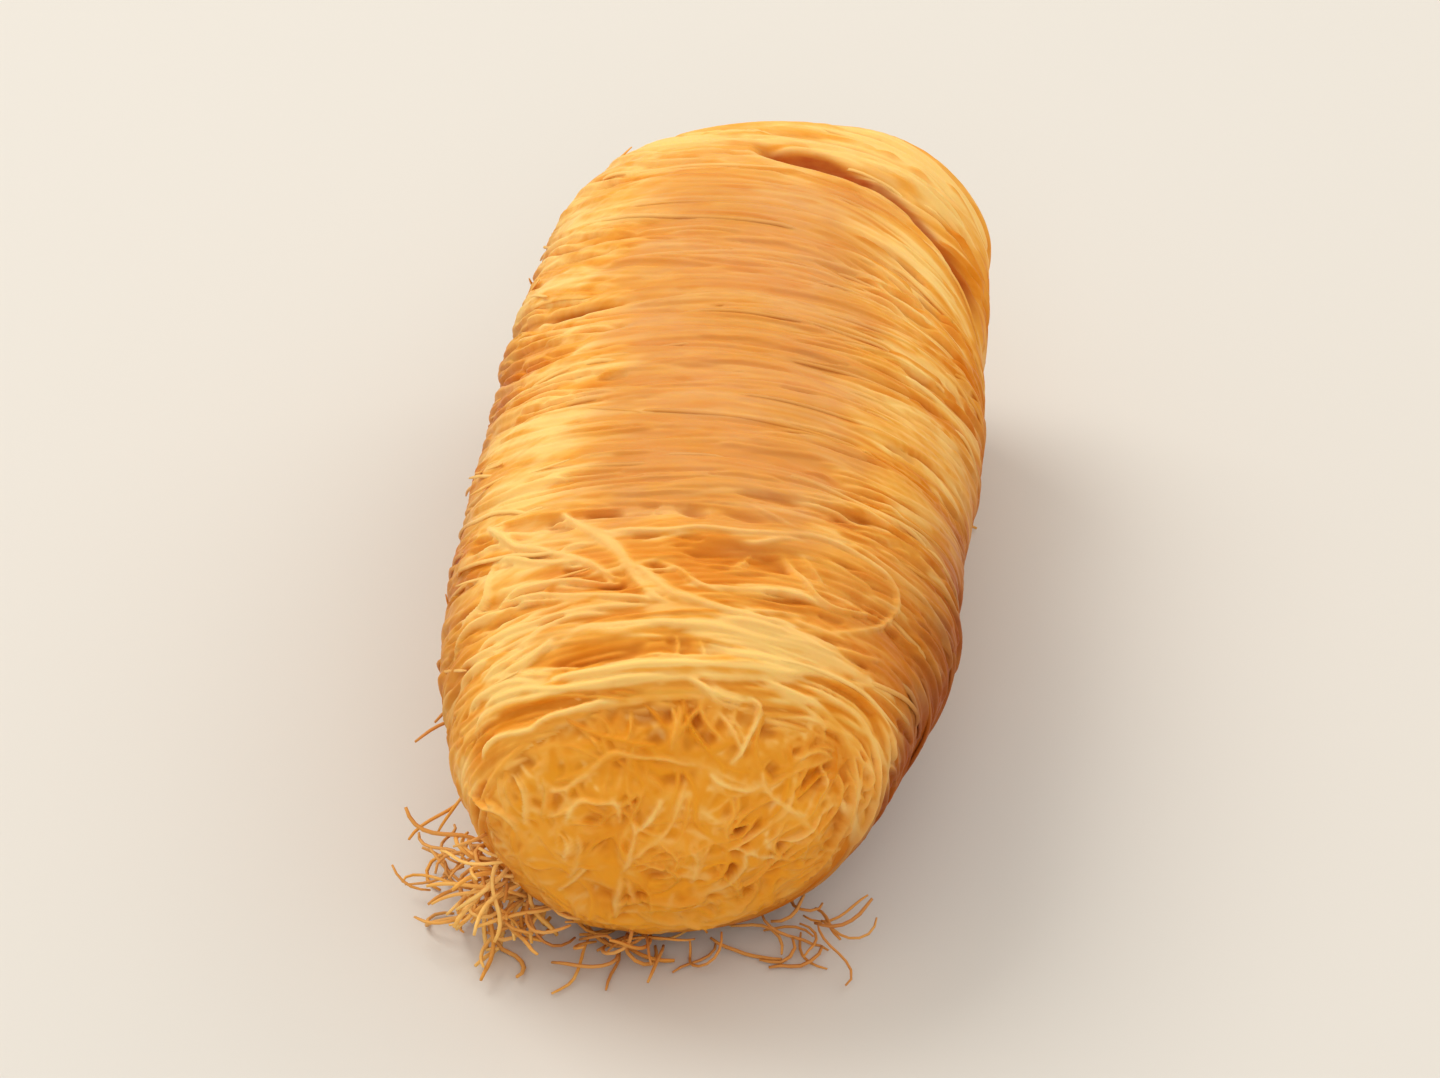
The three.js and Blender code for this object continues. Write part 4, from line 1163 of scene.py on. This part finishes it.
def tuft(count, centre, spread, directions, lengths, seed, brown=(0.3, 0.9), width=(0.2, 0.3), curl=0.8, droop=0.22,
         tint=(0.4, 0.9)):
    r = np.random.default_rng(seed)
    for i in range(count):
        p0 = np.array(centre) + r.normal(0, 1, 3) * np.array(spread)
        p0[2] = max(0.3, p0[2])
        d = np.array(directions[int(r.integers(len(directions)))], float) + r.normal(0, 0.35, 3)
        free_strand(p0, d, r.uniform(*lengths), r.uniform(*width), r.uniform(*tint), r, curl, droop, brown=r.uniform(*brown))


# lower left of the front end
tuft(34, (-12.2, -25.6, 3.4), (0.9, 1.4, 1.5), [(-1, -0.3, 0.1), (-1, 0.2, 0.3), (-0.7, -1, 0.2), (-0.9, -0.7, 0.4)], (3.5, 8), 801,
     brown=(0.1, 0.8), width=(0.2, 0.34), curl=1.3, droop=0.12, tint=(0.6, 1.0))
tuft(22, (-10.2, -27.6, 3.0), (1.6, 0.7, 1.3), [(-0.4, -1, 0.1), (0.3, -1, 0.2), (-0.9, -0.6, 0.3)], (3, 7), 802,
     brown=(0.1, 0.7), width=(0.2, 0.34), curl=1.4, droop=0.15, tint=(0.6, 1.0))
# golden ones let go from the low left of the face
tuft(28, (-9.2, -28.4, 5.2), (1.6, 0.7, 1.3), [(-1, -0.4, 0.0), (-1, -0.8, 0.2), (-0.9, -0.3, -0.3)], (3.5, 7.5), 806,
     brown=(0.0, 0.12), width=(0.26, 0.4), curl=0.8, droop=0.28, tint=(0.7, 1.1))
# and down the left side, off the roll
tuft(9, (-14.5, -19.0, 7.0), (0.3, 4.0, 2.4), [(-0.6, -1, -0.2), (-0.6, 1, 0.0), (-0.5, -1, -0.6)], (3.5, 6), 807,
     brown=(0.3, 0.9), width=(0.2, 0.28), curl=1.0, droop=0.15)
# under the front end, lying on the floor
tuft(24, (-3.5, -28.6, 1.0), (3.6, 0.6, 0.4), [(0.3, -1, 0.1), (0.7, -0.8, 0.1), (-0.5, -0.9, 0.1)], (3, 7), 803, brown=(0.3, 0.9),
     width=(0.2, 0.3), curl=1.1)
# the ones to the right are darker: painted shade
tuft(20, (7.2, -26.2, 1.0), (2.6, 1.0, 0.5), [(0.5, -1, 0.1), (1, -0.6, 0.1), (0.2, -1, 0.1)], (2.5, 6), 804, brown=(0.7, 1.0),
     width=(0.2, 0.3), curl=1.4)
# a few along both sides of the base and behind, coming out from under it
tuft(6, (-11.6, 6.0, 1.0), (0.5, 9.0, 0.4), [(-1, 0.7, 0.1), (-1, -0.7, 0.1)], (3, 5), 811, brown=(0.3, 0.7))
tuft(6, (11.8, 6.0, 1.0), (0.5, 9.0, 0.4), [(1, 0.7, 0.1), (1, -0.7, 0.1)], (3, 5), 821, brown=(0.3, 0.7))
tuft(5, (0.0, 28.8, 0.8), (4.0, 0.4, 0.3), [(0.5, 1, 0.1), (-0.5, 1, 0.1)], (2.5, 4), 843, brown=(0.3, 0.7))
print("STRANDS", round(time.perf_counter() - T0, 1), "s")


# ======================================================================== materials
def new_material(name):
    m = bpy.data.materials.new(name)
    m.use_nodes = True
    nt = m.node_tree
    for n in list(nt.nodes):
        nt.nodes.remove(n)
    out = nt.nodes.new("ShaderNodeOutputMaterial")
    bsdf = nt.nodes.new("ShaderNodeBsdfPrincipled")
    nt.links.new(bsdf.outputs[0], out.inputs[0])
    return m, nt, bsdf


def srgb(r, g, b):
    def f(c):
        c = c / 255
        return c / 12.92 if c <= 0.04045 else ((c + 0.055) / 1.055) ** 2.4
    return (f(r), f(g), f(b), 1.0)


PALE, GOLD, AMBER = srgb(252, 206, 122), srgb(240, 170, 68), srgb(224, 136, 28)
# second row: toasted crust, then painted shade for the hollows, browning with painted shade for the flanks, and painted
# shade for the split
TOASTED, HOLLOW_SHADE, FLANK_BROWN_SHADE, SPLIT_SHADE = srgb(208, 138, 69), srgb(182, 92, 5), srgb(140, 46, 0), srgb(172, 72, 18)
OCHRE, ROSY = srgb(239, 161, 38), srgb(212, 145, 86)


def pastry_material(name, rough=0.45, glow=0.4, split_shade=False, dark=FLANK_BROWN_SHADE):
    m, nt, bsdf = new_material(name)
    ln = nt.links.new

    def nd(kind, **kw):
        n = nt.nodes.new(kind)
        for k, v in kw.items():
            setattr(n, k, v)
        return n

    def attr(nm):
        return nd("ShaderNodeAttribute", attribute_name=nm).outputs["Fac"]

    def math2(op, a, b, c=None):
        n = nd("ShaderNodeMath", operation=op)
        for i, x in enumerate((a, b, c)):
            if x is None:
                continue
            if isinstance(x, (int, float)):
                n.inputs[i].default_value = x
            else:
                ln(x, n.inputs[i])
        return n.outputs[0]

    def noise(scale, detail, stretch=None, w=0.0):
        n = nd("ShaderNodeTexNoise")
        n.inputs["Scale"].default_value = scale
        n.inputs["Detail"].default_value = detail
        if stretch:
            mp = nd("ShaderNodeMapping")
            mp.inputs["Scale"].default_value = stretch
            mp.inputs["Location"].default_value = (w, w, w)
            ln(co.outputs["Object"], mp.inputs["Vector"])
            ln(mp.outputs[0], n.inputs["Vector"])
        else:
            ln(co.outputs["Object"], n.inputs["Vector"])
        return n.outputs[0]

    def mix(f, a, b):
        n = nd("ShaderNodeMix", data_type="RGBA")
        if isinstance(f, float):
            n.inputs["Factor"].default_value = f
        else:
            ln(f, n.inputs["Factor"])
        for k, x in (("A", a), ("B", b)):
            if isinstance(x, tuple):
                n.inputs[k].default_value = x
            else:
                ln(x, n.inputs[k])
        return n.outputs["Result"]

    co = nd("ShaderNodeTexCoord")
    slow = noise(150, 3)
    quick = noise(850, 4)
    streak = noise(420, 3, (1.0, 5.0, 1.0), 3.0)
    # pale to amber from strand to strand, with slow patches and short streaks over it
    t = math2("MULTIPLY_ADD", slow, 0.9, attr("tint"))
    t = math2("MULTIPLY_ADD", streak, 0.7, t)
    # paler spots: partly the crust's own paleness, partly painted light
    t = math2("MULTIPLY_ADD", attr("pale"), 0.55, t)
    t = math2("MULTIPLY_ADD", attr("face"), 0.04, t)
    t = math2("SUBTRACT", t, 0.86)
    ramp = nd("ShaderNodeValToRGB")
    e = ramp.color_ramp.elements
    e[0].position, e[0].color = 0.0, AMBER
    e[1].position, e[1].color = 1.0, PALE
    e.new(0.5).color = GOLD
    ln(t, ramp.inputs[0])
    col = ramp.outputs[0]
    edge = nd("ShaderNodeMapRange")
    ln(math2("MULTIPLY_ADD", quick, 0.25, math2("MULTIPLY", streak, 0.75)), edge.inputs[0])
    edge.inputs[1].default_value, edge.inputs[2].default_value = 0.35, 0.65
    edge.inputs[3].default_value, edge.inputs[4].default_value = 0.66, 1.0
    patch = nd("ShaderNodeMapRange")
    ln(noise(115, 2, (1.0, 1.3, 1.0), 9.0), patch.inputs[0])
    patch.inputs[1].default_value, patch.inputs[2].default_value = 0.4, 0.6
    toasted = mix(patch.outputs[0], TOASTED, ROSY)
    col = mix(math2("MULTIPLY", math2("MULTIPLY", attr("toast"), 0.85), edge.outputs[0]), col, toasted)
    # browning and painted shade: the flanks, the base and the lower end faces go dark
    long_ = nd("ShaderNodeMapRange")
    ln(streak, long_.inputs[0])
    long_.inputs[1].default_value, long_.inputs[2].default_value = 0.3, 0.7
    long_.inputs[3].default_value, long_.inputs[4].default_value = 0.9, 1.0
    col = mix(math2("MULTIPLY", attr("brown"), long_.outputs[0]), col, dark)
    bare = math2("MULTIPLY", math2("SUBTRACT", 0.95, attr("tint")), attr("face"))
    col = mix(bare, col, OCHRE)
    # painted shade: spots lying deep under their surroundings turn deep amber
    dp = nd("ShaderNodeMapRange")
    ln(attr("depth"), dp.inputs[0])
    dp.inputs[1].default_value, dp.inputs[2].default_value = 0.14, 0.95
    dp.inputs[3].default_value, dp.inputs[4].default_value = 0.0, 0.8
    col = mix(dp.outputs[0], col, HOLLOW_SHADE)
    # painted shade: the split is darkened reddish brown
    if split_shade:
        inner = nd("ShaderNodeMapRange")                 # strands show inside it too
        ln(math2("MULTIPLY_ADD", quick, 0.4, math2("MULTIPLY", streak, 0.6)), inner.inputs[0])
        inner.inputs[1].default_value, inner.inputs[2].default_value = 0.4, 0.6
        inner.inputs[3].default_value, inner.inputs[4].default_value = 0.8, 1.0
        col = mix(math2("MULTIPLY", attr("split_shade"), inner.outputs[0]), col, SPLIT_SHADE)
    ln(col, bsdf.inputs["Base Color"])
    # syrup: glossier in patches
    rr = nd("ShaderNodeMapRange")
    ln(slow, rr.inputs[0])
    rr.inputs[1].default_value, rr.inputs[2].default_value = 0.35, 0.65
    rr.inputs[3].default_value, rr.inputs[4].default_value = rough - 0.08, rough + 0.14
    ln(rr.outputs[0], bsdf.inputs["Roughness"])
    bump = nd("ShaderNodeBump")
    bump.inputs["Strength"].default_value = 0.2
    bump.inputs["Distance"].default_value = 0.00015
    ln(math2("MULTIPLY_ADD", streak, 0.8, quick), bump.inputs["Height"])
    ln(bump.outputs[0], bsdf.inputs["Normal"])
    bsdf.inputs["Subsurface Weight"].default_value = glow
    bsdf.inputs["Subsurface Radius"].default_value = (1.0, 0.5, 0.18)
    bsdf.inputs["Subsurface Scale"].default_value = 0.00025
    bsdf.inputs["Specular IOR Level"].default_value = 0.16
    bsdf.inputs["Specular Tint"].default_value = (1.0, 0.74, 0.40, 1)
    return m


crust_mat = pastry_material("baked_crust", 0.46, 0.32, True)
strand_mat = pastry_material("baked_strands", 0.46, 0.0)
tuft_mat = pastry_material("dry_strands", 0.55, 0.0, dark=srgb(206, 138, 76))

pieces = crust()
for ob in pieces:
    ob.data.materials.append(crust_mat)
    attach(ob, "root")
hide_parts("kunafa_roll")
for c in (turn_s, loose_s, tuft_s):
    c.build(tuft_mat if c is tuft_s else strand_mat)
print("BUILT", round(time.perf_counter() - T0, 1), "s")


# ======================================================================== floor, light, camera
def add_floor():
    """A pale floor, flat for a metre round the roll and rising gently beyond, so that no edge shows behind it."""
    rings, n = [0.0, 0.25, 0.5, 1.0] + list(np.linspace(1.15, 3.4, 16)), 96
    verts, faces = [(0.0, 0.0, 0.0)], []
    for r in rings[1:]:
        z = 0.9 * (max(0.0, r - 1.0) / 2.4) ** 2
        verts += [(r * math.cos(TAU * k / n), r * math.sin(TAU * k / n), z) for k in range(n)]
    for k in range(n):
        faces.append((0, 1 + k, 1 + (k + 1) % n))
    for i in range(1, len(rings) - 1):
        b0, b1 = 1 + (i - 1) * n, 1 + i * n
        for k in range(n):
            faces.append((b0 + k, b1 + k, b1 + (k + 1) % n, b0 + (k + 1) % n))
    me = bpy.data.meshes.new("studio_floor")
    me.from_pydata(verts, [], faces)
    me.polygons.foreach_set("use_smooth", np.ones(len(faces), bool))
    me.update()
    ob = bpy.data.objects.new("studio_floor", me)
    bpy.context.scene.collection.objects.link(ob)
    m, nt, bsdf = new_material("pale_floor")
    bsdf.inputs["Base Color"].default_value = (0.70, 0.67, 0.62, 1)
    bsdf.inputs["Roughness"].default_value = 0.6
    bsdf.inputs["Specular IOR Level"].default_value = 0.2
    me.materials.append(m)
    return ob


add_floor()
scene = bpy.context.scene
world = bpy.data.worlds.new("studio")
scene.world = world
world.use_nodes = True
bg = world.node_tree.nodes["Background"]
bg.inputs[0].default_value = (1.0, 0.965, 0.91, 1)
bg.inputs[1].default_value = 0.78


def area(name, loc, target, size, power, color=(1, 1, 1)):
    li = bpy.data.lights.new(name, "AREA")
    li.shape = "RECTANGLE"
    li.size, li.size_y = size
    li.energy = power
    li.color = color
    ob = bpy.data.objects.new(name, li)
    ob.location = loc
    ob.rotation_mode = "QUATERNION"
    ob.rotation_quaternion = (Vector(target) - Vector(loc)).to_track_quat("-Z", "Y")
    scene.collection.objects.link(ob)
    return ob


area("key", (-0.42, 0.28, 0.62), (0, 0, 0.01), (0.45, 0.45), 2.8, (1.0, 0.97, 0.92))
area("back", (0.45, 0.42, 0.42), (0, 0.01, 0.01), (0.5, 0.4), 0.85, (1.0, 0.97, 0.92))
area("fill", (0.1, -0.7, 0.6), (0, 0, 0.01), (0.6, 0.4), 1.15)

cam_data = bpy.data.cameras.new("camera")
cam = bpy.data.objects.new("camera", cam_data)
scene.collection.objects.link(cam)
cam_data.lens = 206.13
cam_data.sensor_width = 36.0
cam_data.clip_start, cam_data.clip_end = 0.01, 20
cam.location = (0.042353, -0.424689, 0.364033)
aim = Vector((0.0, -0.001, 0.0125)) - Vector(cam.location)
cam.rotation_mode = "QUATERNION"
q = aim.to_track_quat("-Z", "Y")
cam.rotation_quaternion = Quaternion(aim.normalized(), math.radians(-0.74)) @ q
scene.camera = cam
scene.view_settings.view_transform = "Standard"
scene.view_settings.look = "None"
scene.view_settings.exposure = 0.0
scene.view_settings.gamma = 1.0
